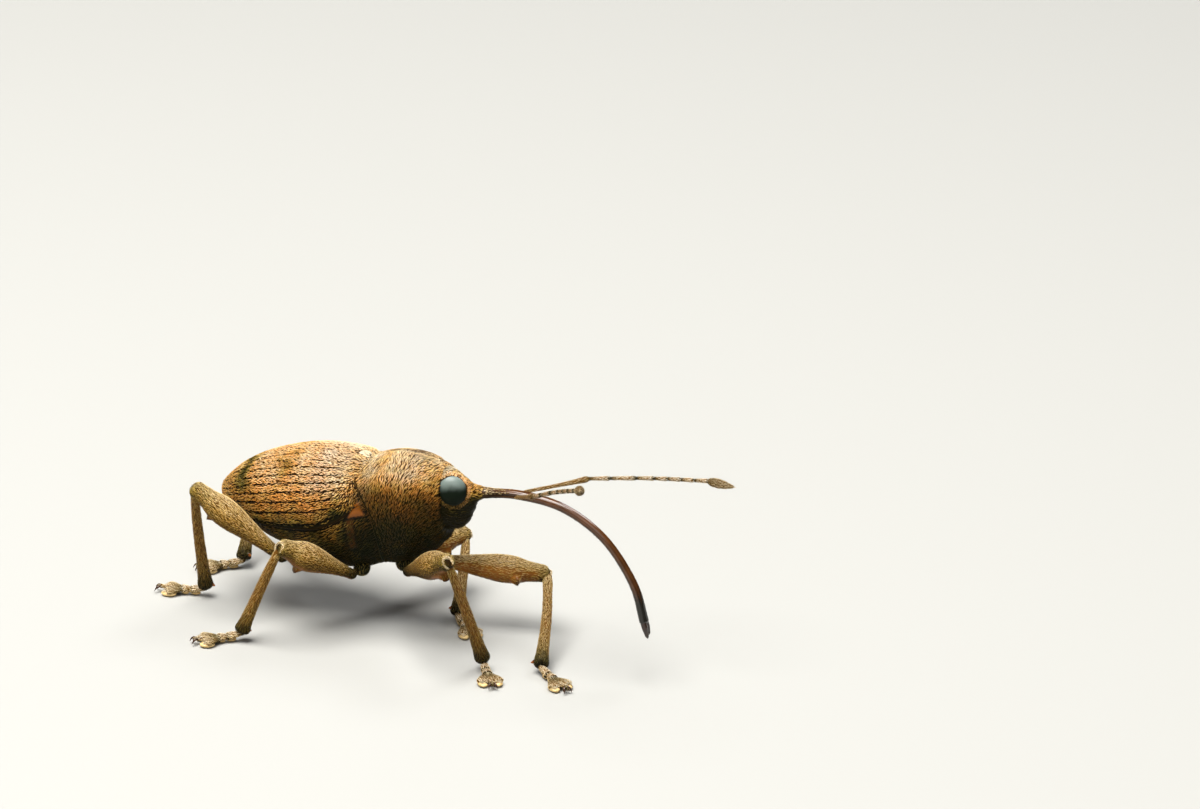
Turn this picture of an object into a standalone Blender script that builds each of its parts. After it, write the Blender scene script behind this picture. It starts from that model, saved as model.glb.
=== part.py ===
"""A female nut weevil at life size, standing on six feet with its thin snout reaching out in front.

The sizes are millimetres in the animal's own axes: +X runs forward along the body, +Y to its left and
+Z up, from a point on the body's axis under the front of the wing cases. The body is then pitched nose
up and set at its height over the floor. The feet are given over the floor, because they stand on it.
"""

import math
from dataclasses import dataclass

import bmesh
import bpy
from mathutils import Matrix, Vector

OBJECT = "weevil"
MM = 0.001

# Place of the body over the floor
PITCH = math.radians(8.3)
BODY_PLACE = Vector((-2.16, 0.49, 3.57))

# The space kept between two pieces that meet
GAP = 0.14

# Sections of the hind body: x, top, bottom, half width, height of the widest line, wing case margin
HIND_BODY = (
    (0.38, 1.68, -1.78, 1.46, 0.35, 0.45),
    (0.00, 1.79, -1.88, 1.68, 0.30, 0.18),
    (-0.75, 1.88, -1.86, 1.80, 0.22, -0.14),
    (-1.55, 1.88, -1.64, 1.79, 0.18, -0.24),
    (-2.40, 1.72, -1.28, 1.64, 0.16, -0.27),
    (-3.20, 1.48, -0.90, 1.36, 0.18, -0.25),
    (-3.90, 1.18, -0.48, 1.02, 0.24, -0.16),
    (-4.35, 0.91, -0.14, 0.68, 0.32, 0.02),
    (-4.60, 0.66, 0.16, 0.32, 0.38, 0.24),
)
WING_STATIONS = 16
WING_EXPONENT = 2.25
STRIAE = 10
STRIA_HALF_WIDTH = 0.018
STRIA_DEPTH = 0.06
BELLY_EXPONENT = 2.0
BELLY_POINTS = 17
THORAX_STATIONS = 7
ABDOMEN_STATIONS = 9
THORAX_END = -2.45
ABDOMEN_END = -4.42

# Sections of the fore body: x, top, bottom, half width, height of the widest line
FORE_BODY = (
    (0.52, 1.74, -1.62, 1.36, 0.25),
    (0.90, 1.88, -1.64, 1.44, 0.27),
    (1.40, 1.92, -1.58, 1.44, 0.32),
    (1.95, 1.84, -1.40, 1.31, 0.40),
    (2.40, 1.69, -1.08, 1.10, 0.50),
    (2.74, 1.52, -0.72, 0.92, 0.56),
)
FORE_STATIONS = 10
FORE_EXPONENT = 2.1
FORE_POINTS = 28

# Small shield between the wing cases
SHIELD_CENTRE = Vector((0.10, 0.0, 1.54))
SHIELD_RADII = Vector((0.24, 0.20, 0.27))

# Sections of the head, from the neck to the brow that narrows into the snout, as in the fore body
HEAD = (
    (2.88, 1.45, -0.60, 0.80, 0.40),
    (3.10, 1.38, -0.44, 0.74, 0.45),
    (3.30, 1.26, -0.27, 0.66, 0.50),
    (3.50, 1.11, -0.05, 0.53, 0.54),
    (3.66, 0.99, 0.22, 0.37, 0.62),
    (3.79, 0.94, 0.48, 0.25, 0.71),
)
HEAD_STATIONS = 10
HEAD_EXPONENT = 2.4
HEAD_POINTS = 24
EYE_OUTWARD = Vector((0.33, 0.87, 0.36)).normalized()
EYE_CENTRE = Vector((3.13, 0.60, 0.94))
EYE_SINK = 0.20
EYE_RADII = Vector((0.37, 0.45, 0.27))
EYE_LEAN = Vector((-0.50, 0.0, 0.87))

# Snout: middle line in the plane of symmetry, half thickness along it, and where it is parted
SNOUT_LINE = (
    (3.94, 0.0, 0.75), (5.20, 0.0, 0.75), (6.55, 0.0, 0.43),
    (7.75, 0.0, -0.44), (8.58, 0.0, -1.80), (8.90, 0.0, -3.38),
)
SNOUT_RADII = (0.26, 0.245, 0.24, 0.24, 0.235, 0.25)
SNOUT_POINTS = 31
SNOUT_PARTS = (("rostrum_base", 0, 11), ("rostrum_middle", 11, 21), ("rostrum_tip", 21, 30))
JAW_LENGTH = 0.16
JAW_RADII = (0.17, 0.05)

# Feelers: where they leave the snout, then the elbow, the root of the club and its tip for each side
FEELER_ROOT_X = 5.08
FEELER_ROOT_Z = 0.74
FEELERS = {
    "left": (Vector((6.80, 1.40, 0.88)), Vector((10.00, 2.80, 0.52)), Vector((10.79, 3.10, 0.26))),
    "right": (Vector((6.37, -1.78, 1.38)), Vector((8.70, -3.93, 2.60)), Vector((9.03, -4.67, 2.88))),
}
SCAPE_RADII = (0.23, 0.23, 0.23, 0.24, 0.27)
FUNICLE_BEADS = (0.18, 0.22, 0.15, 0.11, 0.11, 0.11, 0.12)
FUNICLE_WAIST = 0.20
FUNICLE_SWELL = 0.25
CLUB_RADII = (0.15, 0.26, 0.30, 0.27, 0.18, 0.06)

# Legs
HIP_RADIUS = {"front": 0.32, "middle": 0.29, "hind": 0.33}
HIPS = {
    "front": Vector((1.36, 0.39, -1.52)),
    "middle": Vector((0.05, 0.68, -1.68)),
    "hind": Vector((-1.95, 0.95, -1.28)),
}
ROOT_LEAN = Vector((0.0, 0.4, -0.7))
FEMUR_PROFILE = (
    (0.00, 0.21), (0.12, 0.22), (0.30, 0.27), (0.48, 0.36), (0.64, 0.43), (0.76, 0.42),
    (0.84, 0.34), (0.92, 0.28), (0.97, 0.25), (1.00, 0.16),
)
FEMUR_BELLY = 0.30
TOOTH_PLACE = 0.765
TOOTH_LENGTH = 0.34
TOOTH_RADII = (0.15, 0.02)
KNEE_ROUND = 0.17
TIBIA_BOW = 0.05
TIBIA_STEPS = (0, 1, 4, 8, 12, 16, 18)
TIBIA_RADII = (0.15, 0.22, 0.235, 0.235, 0.24, 0.26, 0.30)
SPUR_LENGTH = 0.46
SPUR_RADII = (0.14, 0.03)
SPUR_PLACE = 0.21
SPUR_DROP = 0.08
TARSUS_TOP = 0.37
SHIN_OVERRUN = 0.25
TARSUS_LENGTH = 1.45


@dataclass(frozen=True)
class Stance:
    """One leg's knee in the body's axes, and its ankle and toe as x and y over the floor."""

    pair: str
    side: str
    knee: tuple
    ankle: tuple
    toe: tuple


STANCES = (
    Stance("front", "right", (3.93, -2.88, -0.36), (4.79, -1.70), (5.63, -2.92)),
    Stance("middle", "right", (-1.39, -3.00, -0.26), (-2.32, -3.46), (-3.47, -4.42)),
    Stance("hind", "right", (-4.55, -2.10, 1.06), (-4.65, -1.06), (-6.04, -1.50)),
    Stance("front", "left", (4.89, 1.95, -2.51), (6.44, -1.20), (7.65, -2.05)),
    Stance("middle", "left", (1.60, 3.50, -2.04), (2.78, 1.00), (3.70, 0.08)),
    Stance("hind", "left", (-4.98, 3.30, -0.12), (-4.55, 1.38), (-5.66, 0.47)),
)

# Finishes: red, green, blue, then roughness
FINISHES = {
    "wing": ((0.42, 0.20, 0.07), 0.55),
    "shell": ((0.38, 0.18, 0.07), 0.55),
    "belly": ((0.12, 0.10, 0.04), 0.65),
    "shield": ((0.85, 0.78, 0.58), 0.70),
    "eye": ((0.03, 0.05, 0.045), 0.25),
    "snout": ((0.16, 0.05, 0.02), 0.25),
    "feeler": ((0.45, 0.34, 0.20), 0.60),
    "leg": ((0.40, 0.27, 0.13), 0.55),
    "foot": ((0.50, 0.42, 0.30), 0.65),
}

BODY_AXES = Matrix.Translation(BODY_PLACE) @ Matrix.Rotation(-PITCH, 4, "Y")


def clear_scene():
    """Take every object out of the open file."""
    for obj in list(bpy.data.objects):
        bpy.data.objects.remove(obj, do_unlink=True)


def new_collection(name):
    """Return a new collection that hangs from the scene."""
    group = bpy.data.collections.new(name)
    bpy.context.scene.collection.children.link(group)
    return group


def dress(obj, kind):
    """Give a piece a material of its own, in one of the named finishes."""
    colour, roughness = FINISHES[kind]
    material = bpy.data.materials.new(obj.name)
    material.use_nodes = True
    shader = material.node_tree.nodes["Principled BSDF"]
    shader.inputs["Base Color"].default_value = (*colour, 1.0)
    shader.inputs["Roughness"].default_value = roughness
    shader.inputs["Metallic"].default_value = 0.0
    obj.data.materials.clear()
    obj.data.materials.append(material)
    obj.data.polygons.foreach_set("material_index", [0] * len(obj.data.polygons))


def smooth(rows, count):
    """Read count even steps from a smooth curve through rows of numbers."""
    rows = [Vector(row) for row in rows]
    padded = [2 * rows[0] - rows[1], *rows, 2 * rows[-1] - rows[-2]]
    steps = []
    for i in range(count):
        place = i / (count - 1) * (len(rows) - 1)
        k = min(int(place), len(rows) - 2)
        u = place - k
        a, b, c, d = padded[k:k + 4]
        bend = 2 * a - 5 * b + 4 * c - d
        twist = 3 * b - a - 3 * c + d
        steps.append(b + 0.5 * ((c - a) * u + bend * u * u + twist * u ** 3))
    return steps


def row_at(rows, x):
    """Read the row of a body table, which runs to the rear, at one place along the body."""
    fine = smooth(rows, 241)
    for near, far in zip(fine, fine[1:]):
        if x >= far.x:
            share = (near.x - x) / (near.x - far.x)
            return near.lerp(far, max(share, 0.0))
    return fine[-1]


def add_mesh(name, bm, group):
    """Store a bmesh as an object and return it."""
    bmesh.ops.recalc_face_normals(bm, faces=bm.faces)
    if bm.calc_volume(signed=True) < 0:
        bmesh.ops.reverse_faces(bm, faces=bm.faces)
    mesh = bpy.data.meshes.new(name)
    bm.to_mesh(mesh)
    bm.free()
    obj = bpy.data.objects.new(name, mesh)
    group.objects.link(obj)
    return obj


def loft(name, rings, group):
    """Close a skin over unlike sections that have the same number of points."""
    bm = bmesh.new()
    loops = [[bm.verts.new(point) for point in ring] for ring in rings]
    for near, far in zip(loops, loops[1:]):
        for i in range(len(near)):
            j = (i + 1) % len(near)
            bm.faces.new((near[i], near[j], far[j], far[i]))
    for end in (loops[0], loops[-1]):
        cap = bm.faces.new(end)
        bmesh.ops.triangulate(bm, faces=[cap])
    return add_mesh(name, bm, group)


def ball(name, centre, radii, group, segments=16, rings=10, axes=None):
    """Make an ellipsoid on a centre, turned to the given axes."""
    bm = bmesh.new()
    bmesh.ops.create_uvsphere(bm, u_segments=segments, v_segments=rings, radius=1.0)
    turn = axes.to_4x4() if axes else Matrix.Identity(4)
    bm.transform(Matrix.Translation(centre) @ turn @ Matrix.Diagonal((*radii, 1.0)))
    return add_mesh(name, bm, group)


def cone(name, start, end, radii, group, segments=10):
    """Make a closed cone between two points."""
    axis = end - start
    bm = bmesh.new()
    bmesh.ops.create_cone(
        bm, cap_ends=True, segments=segments, radius1=radii[0], radius2=radii[1], depth=axis.length
    )
    turn = axis.to_track_quat("Z", "Y").to_matrix().to_4x4()
    bm.transform(Matrix.Translation((start + end) / 2) @ turn)
    return add_mesh(name, bm, group)


def tube(name, points, radii, group, resolution=2):
    """Make a closed tube along points, with its own radius at each, as a mesh."""
    curve = bpy.data.curves.new(name, "CURVE")
    curve.dimensions = "3D"
    curve.bevel_depth = 1.0
    curve.bevel_resolution = resolution
    curve.use_fill_caps = True
    line = curve.splines.new("POLY")
    line.points.add(len(points) - 1)
    for spot, point, radius in zip(line.points, points, radii):
        spot.co = (*point, 1.0)
        spot.radius = radius
    bent = bpy.data.objects.new(name + "_curve", curve)
    group.objects.link(bent)
    graph = bpy.context.evaluated_depsgraph_get()
    mesh = bpy.data.meshes.new_from_object(bent.evaluated_get(graph))
    bpy.data.objects.remove(bent)
    bm = bmesh.new()
    bm.from_mesh(mesh)
    bmesh.ops.remove_doubles(bm, verts=bm.verts, dist=1e-4)
    return add_mesh(name, bm, group)


def settle(obj):
    """Turn an object's modifiers into its mesh."""
    graph = bpy.context.evaluated_depsgraph_get()
    mesh = bpy.data.meshes.new_from_object(obj.evaluated_get(graph))
    obj.modifiers.clear()
    obj.data = mesh


def combine(obj, others, operation, solver="EXACT"):
    """Fuse other solids with an object, or cut them from it, and remove them."""
    group = new_collection("operands")
    for other in others:
        for home in list(other.users_collection):
            home.objects.unlink(other)
        group.objects.link(other)
    change = obj.modifiers.new("combine", "BOOLEAN")
    change.operation = operation
    change.solver = solver
    change.operand_type = "COLLECTION"
    change.collection = group
    settle(obj)
    for other in others:
        bpy.data.objects.remove(other)
    bpy.data.collections.remove(group)
    keep_largest(obj)


def keep_largest(obj):
    """Keep only the closed surface of an object that has the most volume."""
    bm = bmesh.new()
    bm.from_mesh(obj.data)
    left = set(bm.verts)
    pieces = []
    while left:
        piece = {left.pop()}
        front = list(piece)
        while front:
            vert = front.pop()
            for edge in vert.link_edges:
                other = edge.other_vert(vert)
                if other in left:
                    left.remove(other)
                    piece.add(other)
                    front.append(other)
        pieces.append(piece)
    largest = max(pieces, key=len)
    bmesh.ops.delete(bm, geom=[v for v in bm.verts if v not in largest], context="VERTS")
    bm.to_mesh(obj.data)
    bm.free()


def slice_off(obj, point, normal):
    """Cut away what lies on the normal's side of a plane and close the cut."""
    bm = bmesh.new()
    bm.from_mesh(obj.data)
    cut = bmesh.ops.bisect_plane(
        bm, geom=[*bm.verts, *bm.edges, *bm.faces], plane_co=point, plane_no=normal, clear_outer=True
    )
    edges = [item for item in cut["geom_cut"] if isinstance(item, bmesh.types.BMEdge)]
    if edges:
        caps = bmesh.ops.holes_fill(bm, edges=edges)["faces"]
        bmesh.ops.triangulate(bm, faces=caps)
    bmesh.ops.recalc_face_normals(bm, faces=bm.faces)
    bm.to_mesh(obj.data)
    bm.free()
    keep_largest(obj)


def put_on_body(obj):
    """Carry a piece made in the body's axes to the pitched body."""
    obj.data.transform(BODY_AXES)


def section_point(row, angle, exponent):
    """Return half width and height on a body section; the angle is 0 at the widest line, up is plus."""
    reach = row[1] - row[4] if angle > 0 else row[4] - row[2]
    power = 2.0 / exponent
    rise = math.copysign(abs(math.sin(angle)) ** power, angle) * reach
    return abs(math.cos(angle)) ** power * row[3], row[4] + rise


def angle_at_height(row, height, exponent):
    """Return the angle on a body section at a height under its widest line or over it."""
    drop = height - row[4]
    reach = row[1] - row[4] if drop > 0 else row[4] - row[2]
    share = min(abs(drop) / reach, 1.0)
    return math.copysign(math.asin(share ** (exponent / 2.0)), drop)


def wing_fractions():
    """Return places round a wing case, each with its depth: three for every groove, and the two ends."""
    places = [(0.0, 0.0)]
    for i in range(STRIAE):
        middle = (i + 0.5) / STRIAE
        places += [
            (middle - STRIA_HALF_WIDTH, 0.0),
            (middle, STRIA_DEPTH),
            (middle + STRIA_HALF_WIDTH, 0.0),
        ]
    return places + [(1.0, 0.0)]


def wing_ring(row, side):
    """Return one section of a wing case: grooved outside, flat along the seam and over the belly."""
    floor = row[5] + GAP / 2
    low = angle_at_height(row, floor, WING_EXPONENT)
    high = math.acos(min((GAP / 2 / row[3]) ** (WING_EXPONENT / 2.0), 1.0))
    ring = []
    for share, depth in wing_fractions():
        y, z = section_point(row, low + (high - low) * share, WING_EXPONENT)
        inward = Vector((y, z - row[4]))
        inward *= 1.0 - depth * min(1.0, row[3]) / inward.length
        ring.append(Vector((row[0], side * max(inward.x, GAP / 2), row[4] + inward.y)))
    ring.append(Vector((row[0], side * GAP / 2, floor)))
    return ring


def whole_ring(row, exponent, count):
    """Return one section of a piece that goes all the way round."""
    ring = []
    for i in range(count):
        turn = 2 * math.pi * (i + 0.5) / count
        y, z = section_point(row, math.asin(math.sin(turn)), exponent)
        ring.append(Vector((row[0], math.copysign(y, math.cos(turn)), z)))
    return ring


def belly_ring(row):
    """Return one section of the body under the wing cases, flat on top."""
    roof = row[5] - GAP / 2
    low = -math.pi / 2
    high = angle_at_height(row, roof, BELLY_EXPONENT)
    ring = []
    for i in range(BELLY_POINTS):
        share = abs(2.0 * i / (BELLY_POINTS - 1) - 1.0)
        y, z = section_point(row, low + (high - low) * share, BELLY_EXPONENT)
        side = -1.0 if i < BELLY_POINTS // 2 else 1.0
        ring.append(Vector((row[0], side * y, z)))
    return ring


def make_wing_cases(group, tools):
    """Make both wing cases, notched for the small shield between them."""
    rows = smooth(HIND_BODY, WING_STATIONS)
    for name, side in (("elytron_right", -1.0), ("elytron_left", 1.0)):
        case = loft(name, [wing_ring(row, side) for row in rows], group)
        room = ball("room", SHIELD_CENTRE, SHIELD_RADII + Vector((GAP, GAP, GAP)), tools, 14, 8)
        combine(case, [room], "DIFFERENCE", "MANIFOLD")
        put_on_body(case)
        dress(case, "wing")


def make_shield(group):
    """Make the small pale shield."""
    shield = ball("scutellum", SHIELD_CENTRE, SHIELD_RADII, group, 14, 8)
    put_on_body(shield)
    dress(shield, "shield")


def make_hind_body(group, tools):
    """Make the underside behind the fore body, in two pieces, the front one with its four hips."""
    pieces = (
        ("thorax", HIND_BODY[0][0], THORAX_END + GAP / 2, THORAX_STATIONS),
        ("abdomen", THORAX_END - GAP / 2, ABDOMEN_END, ABDOMEN_STATIONS),
    )
    for name, start, end, count in pieces:
        rows = [row_at(HIND_BODY, start + (end - start) * i / (count - 1)) for i in range(count)]
        piece = loft(name, [belly_ring(row) for row in rows], group)
        if name == "thorax":
            hips = [
                ball("hip", mirrored(HIPS[pair], side), [HIP_RADIUS[pair]] * 3, tools, 12, 8)
                for pair in ("middle", "hind") for side in ("left", "right")
            ]
            combine(piece, hips, "UNION", "MANIFOLD")
        put_on_body(piece)
        dress(piece, "belly")


def make_fore_body(group, tools):
    """Make the fore body, with its two hips."""
    rows = smooth(FORE_BODY, FORE_STATIONS)
    piece = loft("prothorax", [whole_ring(row, FORE_EXPONENT, FORE_POINTS) for row in rows], group)
    hips = [
        ball("hip", mirrored(HIPS["front"], side), [HIP_RADIUS["front"]] * 3, tools, 12, 8)
        for side in ("left", "right")
    ]
    combine(piece, hips, "UNION")
    put_on_body(piece)
    dress(piece, "shell")


def eye_axes(side):
    """Return the turned axes of one eye: across, along its length, and outward."""
    outward = mirrored(EYE_OUTWARD, side)
    along = EYE_LEAN - EYE_LEAN.dot(outward) * outward
    along.normalize()
    across = along.cross(outward)
    return Matrix((across, along, outward)).transposed()


def make_head(group, tools):
    """Make the head with a socket for each eye, and the eyes."""
    rows = smooth(HEAD, HEAD_STATIONS)
    head = loft("head", [whole_ring(row, HEAD_EXPONENT, HEAD_POINTS) for row in rows], group)
    room = Vector((GAP, GAP, GAP))
    sockets = []
    for side in ("left", "right"):
        axes = eye_axes(side)
        centre = mirrored(EYE_CENTRE, side) - axes.col[2] * EYE_SINK
        sockets.append(ball("socket", centre, EYE_RADII + room, tools, 18, 10, axes))
        eye = ball("eye_" + side, centre, EYE_RADII, group, 18, 10, axes)
        put_on_body(eye)
        dress(eye, "eye")
    combine(head, sockets, "DIFFERENCE")
    put_on_body(head)
    dress(head, "shell")


def mirrored(point, side):
    """Return a point given for the left side on the side asked for."""
    sign = 1.0 if side == "left" else -1.0
    return Vector((point.x, sign * point.y, point.z))


def make_snout(group, tools):
    """Make the curved snout in three lengths, with a pair of small jaws at its tip."""
    line = smooth([(*point, radius) for point, radius in zip(SNOUT_LINE, SNOUT_RADII)], SNOUT_POINTS)
    for name, first, last in SNOUT_PARTS:
        run = line[first:last + 1]
        points = [Vector(row[:3]) for row in run]
        if first:
            points[0] += (points[1] - points[0]).normalized() * GAP / 2
        if last < SNOUT_POINTS - 1:
            points[-1] += (points[-2] - points[-1]).normalized() * GAP / 2
        piece = tube(name, points, [row[3] for row in run], group)
        if name == "rostrum_tip":
            ahead = (points[-1] - points[-2]).normalized()
            root = points[-1] - ahead * JAW_LENGTH
            jaws = []
            for lean in (-0.09, 0.09):
                aside = Vector((0, lean, 0))
                tip = points[-1] + ahead * JAW_LENGTH
                jaws.append(cone("jaw", root + aside, tip + aside, JAW_RADII, tools, 8))
            combine(piece, jaws, "UNION")
        put_on_body(piece)
        dress(piece, "snout")


def make_feeler(side, group):
    """Make one feeler: the long first joint, the beaded lash after the elbow, and the club."""
    elbow, club_root, club_tip = FEELERS[side]
    outward = mirrored(Vector((0, 1, 0)), side)
    root = Vector((FEELER_ROOT_X, 0, FEELER_ROOT_Z)) + outward * (SNOUT_RADII[1] + GAP)
    turn = root + outward * 0.22 + (elbow - root).normalized() * 0.30
    scape_line = smooth([root, turn, root.lerp(elbow, 0.55), elbow], 9)
    scape_radii = [row[0] for row in smooth([(r, 0) for r in SCAPE_RADII], 9)]
    stem = (club_root - elbow).normalized()
    lash_start = elbow + stem * (GAP + 0.05)
    lash_points, lash_radii = [], []
    place = 0.0
    for share in FUNICLE_BEADS:
        for step, radius in ((0.0, FUNICLE_WAIST), (0.35, FUNICLE_SWELL), (0.8, FUNICLE_SWELL)):
            lash_points.append(lash_start.lerp(club_root, place + share * step))
            lash_radii.append(radius)
        place += share
    lash_points.append(club_root)
    lash_radii.append(FUNICLE_WAIST)
    club_line = [
        (club_root + (club_tip - club_root).normalized() * GAP).lerp(club_tip, i / (len(CLUB_RADII) - 1))
        for i in range(len(CLUB_RADII))
    ]
    for part, points, radii in (
        ("scape", scape_line, scape_radii),
        ("funicle", lash_points, lash_radii),
        ("club", club_line, CLUB_RADII),
    ):
        name = f"antenna_{side}_{part}"
        piece = tube(name, points, radii, group)
        put_on_body(piece)
        dress(piece, "feeler")


def over_floor(place, height):
    """Return a point given over the floor under the body's own origin, in the part's axes."""
    return Vector((place[0] + BODY_PLACE.x, place[1] + BODY_PLACE.y, height))


def make_thigh(name, hip, reach, knee, inner, seam, group, tools):
    """Make a clubbed thigh from hip to knee, mitred there, with the tooth on its inner side."""
    start = hip + reach
    end = knee + (knee - start).normalized() * KNEE_ROUND
    middle = start.lerp(end, 0.45) + (start - hip) * 0.12 - inner * 0.06
    line = smooth([start, middle, end], 25)
    points, radii = [], []
    for place, radius in FEMUR_PROFILE:
        belly = max(0.0, radius - FEMUR_PROFILE[0][1]) * FEMUR_BELLY
        points.append(line[round(place * 24)] + inner * belly)
        radii.append(radius)
    thigh = tube(name, points, radii, group, 3)
    spot = start.lerp(end, TOOTH_PLACE)
    along = (end - start).normalized()
    tip = spot + inner * (FEMUR_PROFILE[5][1] + TOOTH_LENGTH) + along * 0.10
    tooth = cone("tooth", spot + inner * 0.25, tip, TOOTH_RADII, tools, 8)
    combine(thigh, [tooth], "UNION")
    slice_off(thigh, knee - seam * GAP / 2, seam)
    dress(thigh, "leg")


def make_shin(name, knee, ankle, outer, seam, group, tools):
    """Make a shin that is mitred at the knee and widens to a level end just over the foot."""
    down = (ankle - knee).normalized()
    root = knee - down * KNEE_ROUND
    line = smooth([root, knee.lerp(ankle, 0.45) + outer * TIBIA_BOW, ankle + down * SHIN_OVERRUN], 19)
    shin = tube(name, [line[i] for i in TIBIA_STEPS], TIBIA_RADII, group)
    base = ankle - down * SPUR_PLACE
    tip = base - outer * SPUR_LENGTH + Vector((0, 0, -SPUR_DROP))
    spur = cone("spur", base, tip, SPUR_RADII, tools, 8)
    combine(shin, [spur], "UNION")
    slice_off(shin, ankle, Vector((0, 0, -1)))
    slice_off(shin, knee + seam * GAP / 2, -seam)
    dress(shin, "leg")


def make_foot(name, ankle, toe, group, tools):
    """Make a foot that points from ankle to toe: two cones, a split pad, the claw joint and two claws."""
    ahead = Vector((toe.x - ankle.x, toe.y - ankle.y, 0)).normalized()
    left = Vector((-ahead.y, ahead.x, 0))
    heel = Vector((ankle.x, ankle.y, 0))

    def at(x, y, z):
        return heel + ahead * x + left * y + Vector((0, 0, z))

    foot = cone(name, at(-0.10, 0, 0.20), at(0.52, 0, 0.19), (0.15, 0.215), group, 10)
    pieces = [cone("joint", at(0.40, 0, 0.18), at(0.88, 0, 0.17), (0.15, 0.23), tools, 10)]
    turn = Matrix((ahead, left, Vector((0, 0, 1)))).transposed()
    for side in (-1, 1):
        pieces.append(ball("pad", at(1.00, side * 0.16, 0.12), (0.26, 0.18, 0.16), tools, 12, 8, turn))
        claw = [
            at(1.34, side * 0.05, 0.21), at(1.46, side * 0.11, 0.21),
            at(1.56, side * 0.16, 0.14), at(TARSUS_LENGTH + 0.17, side * 0.18, 0.06),
        ]
        pieces.append(tube("claw", claw, (0.09, 0.085, 0.07, 0.035), tools, 1))
    pieces.append(cone("claw_joint", at(0.95, 0, 0.20), at(1.42, 0, 0.20), (0.10, 0.13), tools, 8))
    combine(foot, pieces, "UNION")
    slice_off(foot, Vector((0, 0, 0)), Vector((0, 0, -1)))
    dress(foot, "foot")


def make_leg(stance, group, tools):
    """Make one leg as thigh, shin and foot."""
    hip = BODY_AXES @ mirrored(HIPS[stance.pair], stance.side)
    knee = BODY_AXES @ Vector(stance.knee)
    ankle = over_floor(stance.ankle, TARSUS_TOP + GAP)
    toe = over_floor(stance.toe, TARSUS_TOP + GAP)
    lean = BODY_AXES.to_3x3() @ mirrored(ROOT_LEAN, stance.side)
    away = ((knee - hip).normalized() + lean).normalized()
    along = (knee - hip).normalized()
    down = (ankle - knee).normalized()
    inner = (down - down.dot(along) * along).normalized()
    outer = (along - along.dot(down) * down).normalized()
    seam = (along + down).normalized()
    reach = away * (HIP_RADIUS[stance.pair] + GAP)
    name = f"leg_{stance.pair}_{stance.side}"
    make_thigh(name + "_femur", hip, reach, knee, inner, seam, group, tools)
    make_shin(name + "_tibia", knee, ankle, outer, seam, group, tools)
    make_foot(name + "_tarsus", ankle, toe, group, tools)


def to_metres(group):
    """Scale every piece from millimetres to metres and hang all of them from one empty."""
    origin = bpy.data.objects.new(OBJECT + "_origin", None)
    bpy.context.scene.collection.objects.link(origin)
    for obj in group.objects:
        obj.data.transform(Matrix.Scale(MM, 4))
        obj.data.shade_smooth()
        obj.data.set_sharp_from_angle(angle=math.radians(35))
        obj.parent = origin


def main():
    """Build the whole animal."""
    clear_scene()
    group = new_collection(OBJECT)
    tools = new_collection("cutters")
    make_head(group, tools)
    make_snout(group, tools)
    for side in FEELERS:
        make_feeler(side, group)
    make_fore_body(group, tools)
    make_wing_cases(group, tools)
    make_shield(group)
    make_hind_body(group, tools)
    for stance in STANCES:
        make_leg(stance, group, tools)
    to_metres(group)


if __name__ == "__main__":
    main()
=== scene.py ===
"""The looks of a life-size female nut weevil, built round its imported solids.

Lengths are millimetres until a mesh is stored. The body is shaped in its own axes: +X forward, +Y to its
left and +Z up, from a point on its axis under the front of the wing cases. It is then pitched nose up and
set over the floor. Knees are given in the body's axes, and ankles and toes over the floor.
"""

import logging
import math
from dataclasses import dataclass, field
from enum import Enum
from functools import cached_property

import bpy
import numpy as np
from mathutils import Matrix, Vector


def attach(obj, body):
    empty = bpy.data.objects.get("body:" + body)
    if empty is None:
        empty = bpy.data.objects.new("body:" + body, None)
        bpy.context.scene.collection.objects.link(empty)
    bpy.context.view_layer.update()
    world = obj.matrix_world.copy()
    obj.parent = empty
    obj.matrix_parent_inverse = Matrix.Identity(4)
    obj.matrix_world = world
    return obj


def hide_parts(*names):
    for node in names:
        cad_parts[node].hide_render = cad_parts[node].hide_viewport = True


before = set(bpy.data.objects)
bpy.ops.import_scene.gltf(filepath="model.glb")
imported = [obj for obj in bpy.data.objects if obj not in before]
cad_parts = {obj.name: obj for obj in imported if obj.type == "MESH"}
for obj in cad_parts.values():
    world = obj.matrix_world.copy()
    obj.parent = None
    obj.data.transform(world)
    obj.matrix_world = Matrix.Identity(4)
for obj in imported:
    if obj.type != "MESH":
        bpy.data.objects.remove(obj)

Array = np.ndarray
log = logging.getLogger("weevil")

MM = 0.001
BODY = "root"

# Place of the body over the floor, as in the solids
PITCH = math.radians(8.3)
BODY_PLACE = np.array((-2.16, 0.49, 3.57))
TURN = np.array(Matrix.Rotation(-PITCH, 3, "Y"))

# Depth of the flat coat between the skin and the solids' own surface, and the same at the hips
COAT_DEPTH = 0.035
HIP_INSET = 0.04

# Hind edge of the pronotum: share of the way from the top to the bottom, then x
HIND_EDGE = (
    (0.00, 0.36), (0.10, 0.44), (0.17, 0.34), (0.24, 0.21), (0.31, 0.34), (0.40, 0.56),
    (0.47, 0.77), (0.53, 0.88), (0.68, 0.91), (0.85, 0.75), (1.00, 0.55),
)

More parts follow.
